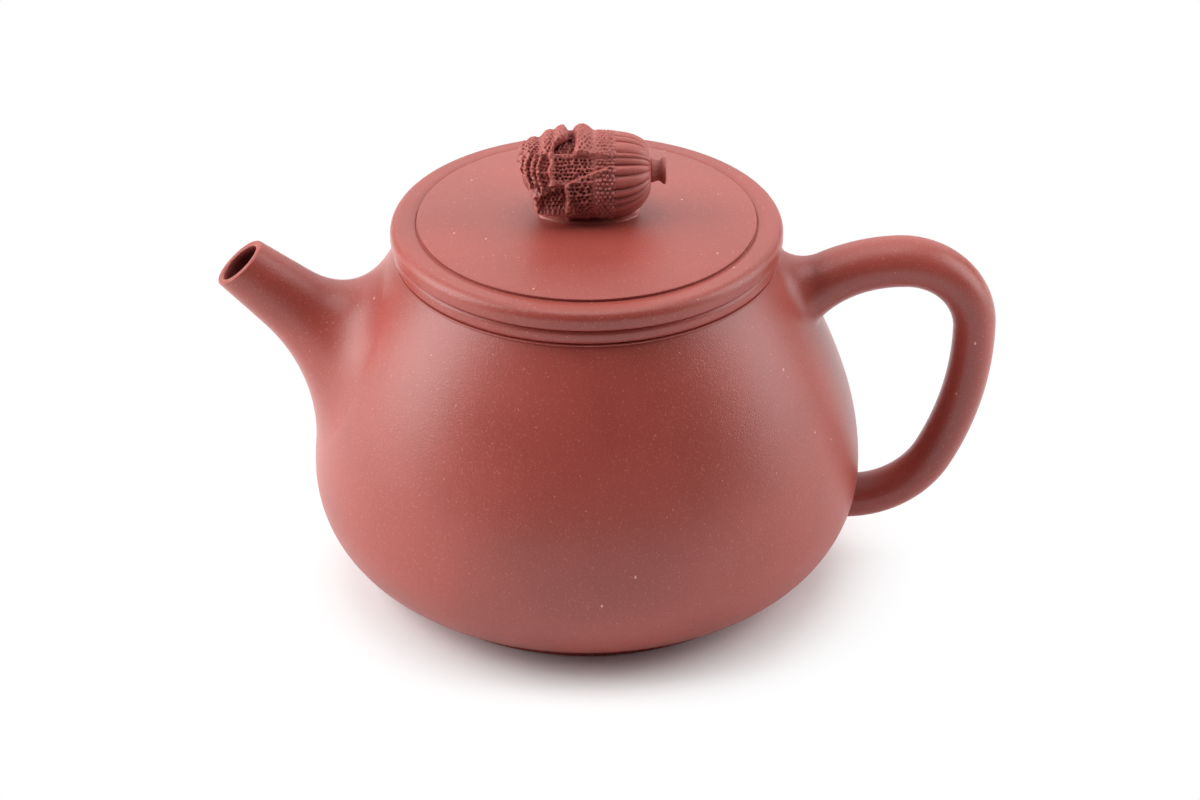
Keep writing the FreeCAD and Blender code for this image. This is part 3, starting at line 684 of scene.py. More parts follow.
@dataclass
class Spout:
    """The straight spout: a tapered tube whose root runs out smoothly over the belly."""

    fillet: Fillet
    finishes: Finishes
    reach: float = 57.8 * MM
    height: float = 56.5 * MM
    angle: float = 40.0
    mouth_lean: float = 8.5
    tip_radius: float = 4.85 * MM
    lip: float = 1.2 * MM
    lip_round: float = 0.42 * MM
    throat_run: float = 14.0 * MM
    throat_radius: float = 6.2 * MM
    wall: float = 1.6 * MM
    root_bore: float = 6.9 * MM
    root_run: float = 23.5 * MM
    back_top: float = 10.0 * MM
    back_bottom: float = 15.5 * MM
    spread_top: float = 8.4 * MM
    spread_bottom: float = 12.5 * MM
    farthest: float = 44.0 * MM
    sides: int = 128
    tube_steps: int = 22
    lip_steps: int = 6
    bore_steps: int = 16

    def axis_point(self, run: float) -> Vector:
        """Return the point of the axis at a distance behind the mouth."""
        turn = math.radians(self.angle)
        tip = Vector((-self.reach, 0.0, self.height))
        return tip + Vector((math.cos(turn), 0.0, -math.sin(turn))) * run

    def away(self, round_angle: float) -> Vector:
        """Return the direction away from the axis, from the top round to the back."""
        turn = math.radians(self.angle)
        up = Vector((math.sin(turn), 0.0, math.cos(turn)))
        return up * math.cos(round_angle) + Vector((0.0, 1.0, 0.0)) * math.sin(round_angle)

    def radius(self, run: float) -> float:
        """Return the tube's outer radius at a distance behind the mouth."""
        slope = (self.throat_radius - self.tip_radius) / self.throat_run
        return self.tip_radius + slope * run

    def bore_radius(self, run: float) -> float:
        """Return the bore's radius at a distance behind the mouth."""
        tip = self.tip_radius - self.lip
        slope = (self.throat_radius - self.wall - tip) / self.throat_run
        return tip + slope * run

    def lip_line(self, round_angle: float) -> list[tuple[float, float]]:
        """Return the lip's radii and runs at one angle, from the bore over its face to the outside."""
        lean = math.tan(math.radians(self.mouth_lean)) * math.cos(round_angle)
        bend = self.lip_round
        inner = self.bore_radius(self.tip_radius * lean + bend)
        outer = self.radius(self.tip_radius * lean + bend)
        turns = [math.pi / 2.0 * step / self.lip_steps for step in range(self.lip_steps + 1)]
        rounds = [(inner + bend * (1.0 - math.cos(turn)), 1.0 - math.sin(turn)) for turn in turns]
        rounds += [(outer - bend * (1.0 - math.sin(turn)), 1.0 - math.cos(turn)) for turn in turns]
        return [(reach, reach * lean + bend * back) for reach, back in rounds]

    def section(self, round_angle: float) -> tuple[list[Vector], list[float]]:
        """Return the line round the tube's wall at one angle: lip, outside, root and bore.

        Args:
            round_angle: The angle round the axis, from the top.

        Returns:
            Points of a closed line, and how hollow each lies, as painted shade: the bore is fully shaded.
        """
        away = self.away(round_angle)

        def outside(run: float) -> Vector:
            """Return the outer face's point at a run."""
            return self.axis_point(run) + away * self.radius(run)

        lip = self.lip_line(round_angle)
        points = [self.axis_point(run) + away * reach for reach, run in lip]
        start = lip[-1][1]
        top_share = (1.0 + math.cos(round_angle)) / 2.0
        back = lerp(self.back_bottom, self.back_top, top_share)
        spread = lerp(self.spread_bottom, self.spread_top, top_share)
        hit = self.fillet.landing(outside, start, self.farthest)
        for step in range(1, self.tube_steps):
            points.append(outside(lerp(start, hit - back, step / self.tube_steps)))
        points += self.fillet.curve(outside, hit, back, spread, away)
        painted_shades = [0.0] * len(points)
        # The bore's points get full painted shade, which darkens its clay.
        bore_end = self.fillet.landing(
            lambda run: self.axis_point(run) + away * self.root_bore, start, self.farthest)
        bore = [(self.root_bore, bore_end), (self.root_bore, self.root_run),
                (self.throat_radius - self.wall, self.throat_run), lip[0]]
        for (first, first_run), (last, last_run) in zip(bore, bore[1:]):
            for step in range(self.bore_steps):
                share = step / self.bore_steps
                points.append(self.axis_point(lerp(first_run, last_run, share))
                              + away * lerp(first, last, share))
                painted_shades.append(1.0)
        points.append(points[0].copy())
        painted_shades.append(0.0)
        return points, painted_shades

    def build(self) -> None:
        """Roll the spout from its sections and dress it."""
        rows, painted_shades = [], []
        for side in range(self.sides + 1):
            points, marks = self.section(math.tau * (side % self.sides) / self.sides)
            rows.append(points)
            painted_shades.append(marks)
        piece = Bench.sheet("straight_spout", rows, painted_shades)
        dress(piece, Crease.EDGED, self.finishes.wall, Body.POT, Slot.BODY, "spout")


@dataclass(frozen=True)
class Oval:
    """The handle's section: its thickness in the loop's plane and its width across."""

    thickness: float
    width: float


@dataclass
class Handle:
    """The loop handle: oval sections along four tangent arcs, with soft roots."""

    fillet: Fillet
    finishes: Finishes
    crest_x: float = 52.6 * MM
    crest_height: float = 56.7 * MM
    arm_arc: float = 25.6 * MM
    bend_arc: float = 12.2 * MM
    grip_arc: float = 52.0 * MM
    grip_turn: float = 28.0
    tail_arc: float = 16.0 * MM
    longest_sweep: float = 90.0
    flare_power: float = 3.0
    ovals: tuple[Oval, ...] = (
        Oval(9.9 * MM, 11.4 * MM), Oval(8.4 * MM, 9.4 * MM), Oval(7.1 * MM, 8.4 * MM),
        Oval(6.9 * MM, 8.0 * MM), Oval(7.2 * MM, 8.4 * MM))
    root_join: tuple[float, float, float] = (5.0 * MM, 3.0 * MM, 1.0 * MM)
    tail_join: tuple[float, float, float] = (0.8 * MM, 0.8 * MM, 0.8 * MM)
    sides: int = 72
    arc_steps: int = 24

    def arcs(self) -> list[tuple[Vector, float, float, float]]:
        """Return the path's arcs: centre, radius, and first and last angle in degrees."""
        turn = math.radians(self.grip_turn)
        bend_z = self.crest_height - self.bend_arc
        grip_x = self.crest_x + self.bend_arc - self.grip_arc
        longer = self.grip_arc - self.tail_arc
        arm = Vector((self.crest_x, 0.0, self.crest_height - self.arm_arc))
        bend = Vector((self.crest_x, 0.0, bend_z))
        grip = Vector((grip_x, 0.0, bend_z))
        tail = Vector((grip_x + longer * math.cos(turn), 0.0, bend_z - longer * math.sin(turn)))
        return [
            (arm, self.arm_arc, 90.0, 90.0 + self.longest_sweep),
            (bend, self.bend_arc, 90.0, 0.0),
            (grip, self.grip_arc, 0.0, -self.grip_turn),
            (tail, self.tail_arc, -self.grip_turn, -self.grip_turn - self.longest_sweep),
        ]

    def oval_point(self, number: int, degrees: float, share: float, round_angle: float) -> Vector:
        """Return a point of the handle's skin.

        Args:
            number: Which arc of the path.
            degrees: The angle along that arc.
            share: How far the section has changed along it, from 0 to 1.
            round_angle: The angle round the section, from the loop's outside to the back.

        Returns:
            The point.
        """
        centre, radius, _, _ = self.arcs()[number]
        first, last = self.ovals[number], self.ovals[number + 1]
        turn = math.radians(degrees)
        out = Vector((math.cos(turn), 0.0, math.sin(turn)))
        thick = lerp(first.thickness, last.thickness, share) / 2.0
        wide = lerp(first.width, last.width, share) / 2.0
        return (centre + out * (radius + thick * math.cos(round_angle))
                + Vector((0.0, wide * math.sin(round_angle), 0.0)))

    def root_angle(self, number: int, length: float) -> float:
        """Return the angle in degrees at a length along a root arc from its free end."""
        _, radius, first, _ = self.arcs()[number]
        return first + (1.0 if number == 0 else -1.0) * math.degrees(length / radius)

    def root_line(self, number: int, round_angle: float, span: float) -> Callable[[float], Vector]:
        """Return the skin's line along a root arc, by its length from the arc's free end."""
        def follow(length: float) -> Vector:
            """Return the point at a length along the arc."""
            reach = min(max(length / span, 0.0), 1.0)**self.flare_power
            share = 1.0 - reach if number == 0 else reach
            return self.oval_point(number, self.root_angle(number, length), share, round_angle)

        return follow

    def root(self, number: int, round_angle: float, join: tuple[float, float, float]) -> list[Vector]:
        """Return the skin's points from an arc's free end to the wall.

        Args:
            number: Which arc of the path.
            round_angle: The angle round the section.
            join: The fillet's size outside the loop, at its sides and inside it.

        Returns:
            Points from the free end to the wall.
        """
        _, radius, _, _ = self.arcs()[number]
        farthest = math.radians(self.longest_sweep) * radius
        middle = self.root_line(number, math.pi / 2.0, farthest)
        span = self.fillet.landing(middle, 0.0, farthest)
        follow = self.root_line(number, round_angle, span)
        hit = self.fillet.landing(follow, 0.0, farthest)
        outer, side, inner = join
        along = math.cos(round_angle)
        size = lerp(side, outer if along > 0.0 else inner, abs(along))
        turn = math.radians(self.root_angle(number, hit))
        away = (Vector((math.cos(turn), 0.0, math.sin(turn))) * math.cos(round_angle)
                + Vector((0.0, math.sin(round_angle), 0.0)))
        points = [follow(lerp(0.0, hit - size, step / self.arc_steps)) for step in range(self.arc_steps)]
        return points + self.fillet.curve(follow, hit, size, size, away)

    def section(self, round_angle: float) -> list[Vector]:
        """Return the skin's line from the upper root round to the lower one."""
        points = self.root(0, round_angle, self.root_join)[::-1]
        for number in (1, 2):
            _, _, first, last = self.arcs()[number]
            for step in range(1, self.arc_steps + 1):
                share = step / self.arc_steps
                points.append(self.oval_point(number, lerp(first, last, share), share, round_angle))
        return points + self.root(3, round_angle, self.tail_join)[1:]

    def build(self) -> None:
        """Roll the handle from its lines, close its roots and dress it."""
        rows = [self.section(math.tau * side / self.sides) for side in range(self.sides)]
        rows.append([place.copy() for place in rows[0]])
        first = sum((row[0] for row in rows[:-1]), Vector()) / self.sides
        last = sum((row[-1] for row in rows[:-1]), Vector()) / self.sides
        rows = [[first.copy()] + row + [last.copy()] for row in rows]
        piece = Bench.sheet("loop_handle", rows)
        dress(piece, Crease.ROLLED, self.finishes.wall, Body.POT, Slot.BODY, "handle")


@dataclass
class Lid:
    """The lid's turned pieces: plate, raised cap and flange."""

    finishes: Finishes
    seat: float = 61.0 * MM
    radius: float = 32.5 * MM
    thickness: float = 3.3 * MM
    top_round: float = 1.6 * MM
    rim_steps: int = 12
    under_round: float = 0.8 * MM
    cap_radius: float = 28.1 * MM
    cap_edge: float = 0.4 * MM
    cap_rise: float = 1.4 * MM
    cap_round: float = 0.12 * MM
    dome_steps: int = 40
    round_ease: float = 1.1
    groove_width: float = 0.34 * MM
    groove_depth: float = 0.16 * MM
    groove_bottom: float = 0.3
    groove_under: float = 0.5
    flange_radius: float = 26.0 * MM
    flange_wall: float = 2.4 * MM
    flange_depth: float = 8.0 * MM
    flange_round: float = 0.8 * MM
    vent_offset: float = 3.2 * MM
    vent_radius: float = 1.0 * MM
    vent_length: float = 32.0 * MM
    vent_sides: int = 24
    turn_steps: int = 224

    @property
    def top(self) -> float:
        """Return the height of the plate's top."""
        return self.seat + self.thickness

    def vent(self, piece: Mesh) -> None:
        """Drill the vent through a piece."""
        foot = Vector((-self.vent_offset, 0.0, self.seat - self.flange_depth))
        end = foot + Vector((0.0, 0.0, self.vent_length))
        Bench.bore(piece, foot, end, self.vent_radius, self.vent_sides)

    def build_plate(self) -> None:
        """Turn the plate with its full rim and dress it."""
        outline = Outline(0.0, self.seat)
        outline.line(self.radius - self.under_round, self.seat, steps=4)
        outline.arc(self.radius, self.seat + self.under_round, self.under_round)
        outline.line(self.radius, self.top - self.top_round, steps=2)
        outline.arc(self.radius - self.top_round, self.top, self.top_round, self.rim_steps)
        outline.line(self.cap_radius + self.groove_width, self.top, steps=2)
        outline.line(self.cap_radius + self.groove_bottom * self.groove_width, self.top - self.groove_depth)
        outline.line(self.cap_radius - self.groove_under * self.groove_width, self.top)
        outline.line(0.0, self.top, steps=4)
        piece = Bench.turned("lid_disc", outline.closed(), self.turn_steps)
        self.vent(piece)
        dress(piece, Crease.EDGED, self.finishes.lid, Body.LID, Slot.LID, "lid_plate")

    def build_cap(self) -> None:
        """Turn the raised, slightly domed cap and dress it."""
        edge = self.top + self.cap_edge
        dome = (self.cap_radius**2 + self.cap_rise**2) / (2.0 * self.cap_rise)
        inner = self.cap_radius - self.cap_round
        drop = dome - math.sqrt(dome**2 - inner**2)
        outline = Outline(0.0, self.top)
        outline.line(self.cap_radius, self.top, steps=4)
        outline.line(self.cap_radius, edge - self.cap_round, steps=2)
        outline.arc(inner, edge + self.cap_rise - drop, self.round_ease * self.cap_round, steps=6)
        outline.arc(0.0, edge + self.cap_rise, dome, self.dome_steps)
        piece = Bench.turned("lid_crown_disc", outline.closed(), self.turn_steps)
        self.vent(piece)
        dress(piece, Crease.EDGED, self.finishes.lid, Body.LID, Slot.LID, "lid_cap")

    def build_flange(self) -> None:
        """Turn the flange that centres the lid and dress it."""
        foot = self.seat - self.flange_depth
        inner = self.flange_radius - self.flange_wall
        outline = Outline(inner, self.seat)
        outline.line(inner, foot + self.flange_round, steps=4)
        outline.arc(inner + self.flange_round, foot, self.flange_round)
        outline.line(self.flange_radius - self.flange_round, foot)
        outline.arc(self.flange_radius, foot + self.flange_round, self.flange_round)
        outline.line(self.flange_radius, self.seat, steps=4)
        piece = Bench.turned("lid_skirt", outline.closed(), self.turn_steps)
        dress(piece, Crease.EDGED, self.finishes.inside, Body.LID, Slot.INSIDE, "lid_flange")


@dataclass(frozen=True)
class CabbageForm:
    """The cabbage's plain form: it lies along X with its root towards the handle.

    Runs are counted from the root's neck towards the tip, angles from the top to the front.
    """

    root_x: float = 10.6 * MM
    axis_height: float = 72.9 * MM
    length: float = 22.2 * MM
    stalk_radius: float = 7.0 * MM
    stalk_run: float = 6.5 * MM
    neck_radius: float = 2.3 * MM
    tip_radius: float = 2.6 * MM
    tip_run: float = 5.5 * MM
    root_rise: float = 0.8 * MM
    tip_rise: float = 1.4 * MM
    flare: float = 0.5 * MM

    def point(self, run: float, angle: float, radius: float) -> Vector:
        """Return the point at a run, an angle in radians and a radius from the axis."""
        near_root = max(1.0 - run / self.stalk_run, 0.0)
        near_tip = max(1.0 - (self.length - run) / self.tip_run, 0.0)
        rise = self.root_rise * near_root**2 + self.tip_rise * near_tip**2
        return Vector((self.root_x - run, -radius * math.sin(angle),
                       self.axis_height + rise + radius * math.cos(angle)))

    def _swell(self, small: float, large: float, run: float, length: float) -> float:
        """Return a radius that swells from small to large as a quarter ellipse."""
        short = min(max(1.0 - run / length, 0.0), 1.0)
        return small + (large - small) * math.sqrt(1.0 - short * short)

    def radius(self, run: float) -> float:
        """Return the smooth outer radius at a run."""
        share = max(run - self.stalk_run, 0.0) / (self.length - self.stalk_run)
        full = self.stalk_radius + self.flare * share
        from_root = self._swell(self.neck_radius, full, run, self.stalk_run)
        from_tip = self._swell(self.tip_radius, full, self.length - run, self.tip_run)
        return min(from_root, from_tip)


@dataclass(frozen=True)
class LeafSkin:
    """The relief on the leaves: smooth ribs on the stalk, then rows of beads, then a net of pits, and the
    painted shade that darkens them.
    """

    rib_count: int = 22
    rib_depth: float = 0.64 * MM
    rib_shape: float = 0.6
    rib_end: float = 6.0 * MM
    rib_fade: float = 0.6 * MM
    vein_depth: float = 0.16 * MM
    vein_end: float = 15.0 * MM
    pitch: float = 0.68 * MM
    turn_radius: float = 7.2 * MM
    bead_height: float = 0.36 * MM
    bead_radius: float = 0.29 * MM
    bead_end: float = 9.4 * MM
    pit_depth: float = 0.52 * MM
    pit_radius: float = 0.36 * MM
    scatter_share: float = 0.42
    spot_spread: float = 0.35
    # Painted shade: the deeper the relief sinks between these two depths, the darker the clay; between the
    # stalk's ribs only by the share given below.
    dark_from: float = 0.08 * MM
    dark_to: float = 0.42 * MM
    rib_painted_shade: float = 0.35
    sway: tuple[tuple[float, float, float], ...] = ((0.05, 3.0, 0.8), (0.03, 7.0, 0.0))
    bead_core: float = 0.25
    bead_level: float = 0.35
    pit_core: float = 0.15
    pit_level: float = 0.25
    spot_reach: float = 1.25
    spot_fade: float = 1.0 * MM

    def spot(self, run: float, angle: float) -> float:
        """Return the distance from a place to the nearest bead or pit, less beside a large one."""
        across = angle * self.turn_radius / self.pitch
        row = math.floor(across)
        nearest = math.inf
        for line in (row, row + 1):
            along = run / self.pitch + 0.5 * (line % 2)
            column = math.floor(along)
            for cell in (column, column + 1):
                off_along = along - cell - (scatter(line, cell) - 0.5) * self.scatter_share
                off_across = across - line - (scatter(line, cell, 1.0) - 0.5) * self.scatter_share
                large = 1.0 + (scatter(line, cell, 2.0) - 0.5) * self.spot_spread
                nearest = min(nearest, math.hypot(off_along, off_across) / large)
        return nearest * self.pitch

    def height(self, run: float, angle: float, radius: float, coarse: float = 1.0) -> float:
        """Return the relief at a place on a leaf, for its plain radius and how coarse its net is."""
        sway = sum(size * math.sin(count * angle + phase) for size, count, phase in self.sway)
        lobe = abs(math.sin((angle + sway) * self.rib_count / 2.0))
        crease = 1.0 - lobe**self.rib_shape
        stalk = 1.0 - smoothstep(self.rib_end - self.rib_fade, self.rib_end + self.rib_fade, run)
        vein = smoothstep(self.vein_end, self.rib_end, run)
        ribs = crease * (self.rib_depth * stalk + self.vein_depth * vein * (1.0 - stalk))
        ribs *= radius / self.turn_radius
        if run < self.rib_end - 2.0 * self.rib_fade:
            return -ribs
        spot = self.spot(run / coarse, angle / coarse)
        reach = self.spot_reach
        bead = 1.0 - smoothstep(self.bead_core * self.bead_radius, reach * self.bead_radius, spot)
        pit = 1.0 - smoothstep(self.pit_core * self.pit_radius, reach * self.pit_radius, spot)
        pits = smoothstep(self.bead_end - self.spot_fade, self.bead_end + self.spot_fade, run)
        beads = (1.0 - stalk) * (1.0 - pits)
        raised = self.bead_height * beads * (bead - self.bead_level)
        return raised + self.pit_depth * pits * (self.pit_level - pit) - ribs

    def darkness(self, run: float, relief: float) -> float:
        """Return the painted shade at a place, from 0 on the ridges to 1 in the pits, less between ribs."""
        share = lerp(self.rib_painted_shade, 1.0, smoothstep(self.rib_end - self.rib_fade, self.rib_end, run))
        return share * smoothstep(self.dark_from, self.dark_to, -relief)


@dataclass(frozen=True)
class Ridge:
    """A fold that runs across a leaf: its run at the top, its height and its width."""

    run: float
    height: float
    width: float

    def rise(self, run: float) -> float:
        """Return the fold's height at a run."""
        return self.height * math.exp(-abs((run - self.run) / self.width)**3)


@dataclass(frozen=True)
class Leaf:
    """One leaf: a thin curved pad of clay with a rounded, slightly raised edge.

    Runs are in metres and angles in degrees, and the leaf spans them from its first edge to its last.
    """

    node: str
    start: float
    end: float
    first: float
    last: float
    slant: float = 0.0
    slant_start: float = 6.5 * MM
    later: float = 0.0
    later_from: float = 0.52
    later_to: float = 0.80
    shorter: float = 0.0
    corner: float = 0.0
    corner_share: float = 0.25
    level: float = 0.0
    tilt: float = 0.0
    bowl: float = 0.0
    bowl_reach: float = 1.5 * MM
    fall: float = 0.0
    fall_start: float = 14.0 * MM
    fall_end: float = 18.6 * MM
    curl: float = 0.3 * MM
    curl_lead: float = 0.7 * MM
    curl_width: float = 0.9 * MM
    curl_mean: float = 0.8
    curl_swing: float = 0.3
    lobes: float = 2.0
    wave: float = 0.4 * MM
    wave_phase: float = 0.7
    ridges: tuple[Ridge, ...] = ()
    fold_fade: float = 0.12
    sweep: float = 1.4 * MM
    sweep_angle: float = 60.0
    sweep_spread: float = 30.0
    rim: float = 0.24 * MM
    rim_width: float = 0.8
    rim_fade: float = 2.0 * MM
    plain_rim: float = 0.7
    crest: float = 0.7 * MM
    bare: float = 0.2 * MM
    relief: float = 1.0
    coarse: float = 1.0
    # How strongly painted shade darkens this leaf's pits and rounded edges.
    painted_shade_strength: float = 0.6
    thickness: float = 1.25 * MM
    edge: float = 0.5 * MM
    edge_shade: float = 0.3
    least_radius: float = 0.3 * MM
    grid: float = 0.10 * MM

    def first_angle(self, run: float) -> float:
        """Return the first edge's angle at a run."""
        return self.first + self.slant * max(run - self.slant_start, 0.0) / MM

    def end_run(self, across: float) -> float:
        """Return the run at which the leaf ends at a share across it."""
        cut = max(1.0 - across / self.corner_share, 0.0)
        return self.end - self.shorter * across**2 - self.corner * cut**2

    def place(self, along: float, across: float) -> tuple[float, float]:
        """Return the run and the angle at a share along the leaf and a share across it."""
        start = self.start + self.later * smoothstep(self.later_from, self.later_to, across)
        plain = lerp(start, self.end_run(across), along)
        angle = lerp(self.first_angle(plain), self.last, across)
        wave = self.wave * math.sin(math.tau * self.lobes * across + self.wave_phase)
        return plain + wave * along**3, math.radians(angle)

    def folds(self, run: float, along: float, across: float) -> float:
        """Return how far the folds lift a place, which sweep towards the tip on the front."""
        angle = lerp(self.first, self.last, across)
        swept = run - self.sweep * math.exp(-((angle - self.sweep_angle) / self.sweep_spread)**2)
        return sum(ridge.rise(swept) for ridge in self.ridges) * smoothstep(0.0, self.fold_fade, along)

    def plain_radius(self, form: CabbageForm, run: float, along: float, across: float) -> float:
        """Return the leaf's outer radius without its skin's relief.

        Args:
            form: The cabbage's plain form.
            run: The run.
            along: The share along the leaf.
            across: The share across it.

        Returns:
            The radius.
        """
        lead = run - self.end_run(across) + self.curl_lead
        curled = math.exp(-abs(lead / self.curl_width)**3)
        swing = self.curl_mean + self.curl_swing * math.cos(math.tau * self.lobes * across)
        fall = self.fall * smoothstep(self.fall_start, self.fall_end, run)
        level = self.level + self.tilt * across + fall
        return form.radius(run) + level + self.curl * curled * swing + self.folds(run, along, across)

    def layers(self, form: CabbageForm, skin: LeafSkin, along: float,
               across: float) -> tuple[Vector, Vector, float]:
        """Return a point of the outer face, the one under it and the painted shade of the first.

        Args:
            form: The cabbage's plain form.
            skin: The relief on its leaves.
            along: The share along the leaf.
            across: The share across it.

        Returns:
            The outer point, the inner point and the painted shade, from 0 to 1.
        """
        run, angle = self.place(along, across)
        plain = self.plain_radius(form, run, along, across)
        width = math.radians(self.last - self.first_angle(run)) * plain
        ends = 1.0 - along if self.start == 0.0 else min(along, 1.0 - along)
        inset = min(ends * (self.end - self.start), min(across, 1.0 - across) * width)
        round_share = 1.0 - min(inset / self.edge, 1.0)
        drop = self.thickness * (1.0 - math.sqrt(1.0 - round_share * round_share))
        rim = math.exp(-((inset - self.edge) / (self.rim_width * self.edge))**2)
        rim *= smoothstep(skin.rib_end, skin.rib_end + self.rim_fade, run)
        crest = min(self.folds(run, along, across) / self.crest, 1.0)
        bumps = self.relief * skin.height(run, angle, plain, self.coarse)
        bumps *= smoothstep(0.0, self.bare, inset)
        bumps *= 1.0 - self.plain_rim * max(rim, crest)
        sunk = self.bowl * smoothstep(self.edge, self.edge + self.bowl_reach, inset)
        inner = max(plain - sunk - self.thickness, self.least_radius)
        outer = max(plain - sunk - drop + self.rim * rim + bumps, inner)
        if along in (0.0, 1.0) or across in (0.0, 1.0):
            outer = inner
        # Painted shade: darker in the pits and where the rounded edge drops away.
        hollow = self.painted_shade_strength * skin.darkness(run, bumps - self.edge_shade * drop)
        return form.point(run, angle, outer), form.point(run, angle, inner), hollow

    def faces(self, form: CabbageForm, skin: LeafSkin) -> tuple[Rows, list[list[float]]]:
        """Return rows of points over the outer face and back under it, and the painted shade of each, full
        under the leaf.
        """
        spread = math.radians(self.last - self.first) * form.stalk_radius
        steps_along = math.ceil((self.end - self.start) / self.grid)
        steps_across = math.ceil(spread / self.grid)
        rows, painted_shades = [], []
        for row in range(steps_along + 1):
            cuts = [self.layers(form, skin, row / steps_along, column / steps_across)
                    for column in range(steps_across + 1)]
            rows.append([cut[0] for cut in cuts] + [cut[1] for cut in reversed(cuts)])
            # The face under the leaf gets full painted shade.
            painted_shades.append([cut[2] for cut in cuts] + [1.0] * len(cuts))
        return rows, painted_shades


CROWN_RIDGES = (Ridge(14.7 * MM, 0.55 * MM, 1.0 * MM), Ridge(17.1 * MM, 0.55 * MM, 0.80 * MM),
                Ridge(19.5 * MM, 0.50 * MM, 0.80 * MM), Ridge(21.3 * MM, 0.30 * MM, 0.55 * MM))
SIDE_RIDGES = (Ridge(17.15 * MM, 0.55 * MM, 0.36 * MM), Ridge(18.05 * MM, 0.55 * MM, 0.36 * MM),
               Ridge(19.20 * MM, 0.60 * MM, 0.40 * MM), Ridge(20.05 * MM, 0.45 * MM, 0.34 * MM))


@dataclass
class Cabbage:
    """The knob: a heart wrapped in leaves, a cut root and the slip that holds it."""

    finishes: Finishes
    lid: Lid
    form: CabbageForm = field(default_factory=CabbageForm)
    skin: LeafSkin = field(default_factory=LeafSkin)
    heart_inset: float = 1.7 * MM
    heart_cut: float = 0.9 * MM
    loose_start: float = 8.0 * MM
    loose_end: float = 16.0 * MM
    least_radius: float = 0.4 * MM
    heart_taper: float = 1.2 * MM
    taper_start: float = 16.5 * MM
    taper_end: float = 21.0 * MM
    taper_angle: float = 105.0
    taper_width: float = 68.0
    heart_folds: int = 9
    heart_fold_depth: float = 0.35 * MM
    hollow_run: float = 13.8 * MM
    hollow_length: float = 2.7 * MM
    hollow_width: float = 45.0
    hollow_swell: float = 0.9 * MM
    # Painted shade on the heart: its pits and the cavity under the crown.
    cavity_painted_shade: float = 0.8
    heart_painted_shade: float = 0.6
    heart_grid: float = 0.13 * MM
    root_length: float = 2.5 * MM
    root_neck: float = 2.1 * MM
    root_waist: float = 1.78 * MM
    root_flange: float = 2.33 * MM
    root_round: float = 0.22 * MM
    waist_end: float = 0.45
    flange_start: float = 0.50
    flange_end: float = 0.86
    round_start: float = 0.93
    root_ripple: float = 0.05 * MM
    ripple_count: float = 5.0
    ripple_twist: float = 2.0
    root_sides: int = 64
    root_steps: int = 28
    pad_x: float = 0.3 * MM
    pad_half_length: float = 8.8 * MM
    pad_half_width: float = 5.0 * MM
    pad_square: float = 0.83
    pad_inset: float = 1.3 * MM
    pad_roll: float = 0.45 * MM
    pad_top: float = 67.5 * MM
    pad_edge: float = 0.42 * MM
    pad_wobble: float = 0.02
    pad_waves: tuple[float, float, float] = (3.0, 1.0, 5.0)
    pad_sides: int = 160
    pad_steps: int = 12
    leaves: tuple[Leaf, ...] = (
        Leaf("cabbage_leaf_back_low", 0.0, 17.0 * MM, -140.0, -82.0, fall=-1.1 * MM,
             fall_start=10.5 * MM, fall_end=17.0 * MM, thickness=1.0 * MM),
        Leaf("cabbage_leaf_back", 0.0, 18.0 * MM, -84.0, -32.0, level=-0.1 * MM,
             fall=-0.9 * MM, fall_start=12.0 * MM, thickness=0.8 * MM),
        Leaf("cabbage_leaf_side", 15.6 * MM, 22.0 * MM, 34.0, 90.0, level=-0.85 * MM,
             ridges=SIDE_RIDGES, curl=0.15 * MM, shorter=2.2 * MM, corner=0.9 * MM, relief=0.8,
             plain_rim=0.3, painted_shade_strength=0.3, thickness=0.7 * MM, edge=0.3 * MM),
        Leaf("cabbage_leaf_tip", 12.0 * MM, 19.9 * MM, 72.0, 129.0, slant=7.5, slant_start=16.0 * MM,
             corner=0.8 * MM, level=-1.85 * MM, tilt=2.0 * MM, bowl=0.2 * MM, curl=0.0, rim=0.75 * MM,
             plain_rim=0.5, lobes=1.0, wave=0.3 * MM, shorter=0.6 * MM, relief=1.1,
             thickness=0.9 * MM, edge=0.9 * MM, painted_shade_strength=0.5),
        Leaf("cabbage_leaf_crown", 13.5 * MM, 21.8 * MM, -40.0, 42.0, later=2.4 * MM, shorter=0.9 * MM,
             level=0.20 * MM, fall=-1.75 * MM, fall_start=14.5 * MM, fall_end=19.6 * MM, ridges=CROWN_RIDGES,
             edge=0.8 * MM, rim=0.10 * MM, plain_rim=0.0, thickness=0.95 * MM, relief=0.65,
             bare=0.25 * MM, painted_shade_strength=0.2),
        Leaf("cabbage_leaf_front", 0.0, 16.9 * MM, 33.0, 81.0, level=-0.45 * MM, curl=0.70 * MM,
             curl_lead=0.5 * MM, curl_width=0.5 * MM, wave=0.25 * MM, rim=0.35 * MM),
        Leaf("cabbage_leaf_front_low", 0.0, 14.2 * MM, 49.0, 158.0, slant=3.4, level=-0.10 * MM,
             tilt=0.4 * MM, curl=0.30 * MM, curl_lead=0.5 * MM, curl_width=0.6 * MM, wave=0.20 * MM,
             rim=0.22 * MM, plain_rim=0.45, relief=1.2, coarse=1.1, painted_shade_strength=0.9),
        Leaf("cabbage_leaf_top", 0.0, 12.8 * MM, -38.0, 40.0, level=0.10 * MM, curl=0.95 * MM,
             curl_lead=1.5 * MM, curl_width=1.3 * MM, lobes=1.0, rim=0.12 * MM, plain_rim=0.3,
             wave=0.3 * MM, edge=0.7 * MM, relief=0.75),
    )

    def build_leaf(self, leaf: Leaf) -> None:
        """Roll one leaf from its two faces and dress it."""
        rows, painted_shades = leaf.faces(self.form, self.skin)
        piece = Bench.sheet(leaf.node + "_clay", rows, painted_shades)
        dress(piece, Crease.LEAF, self.finishes.knob, Body.LID, Slot.KNOB, leaf.node)

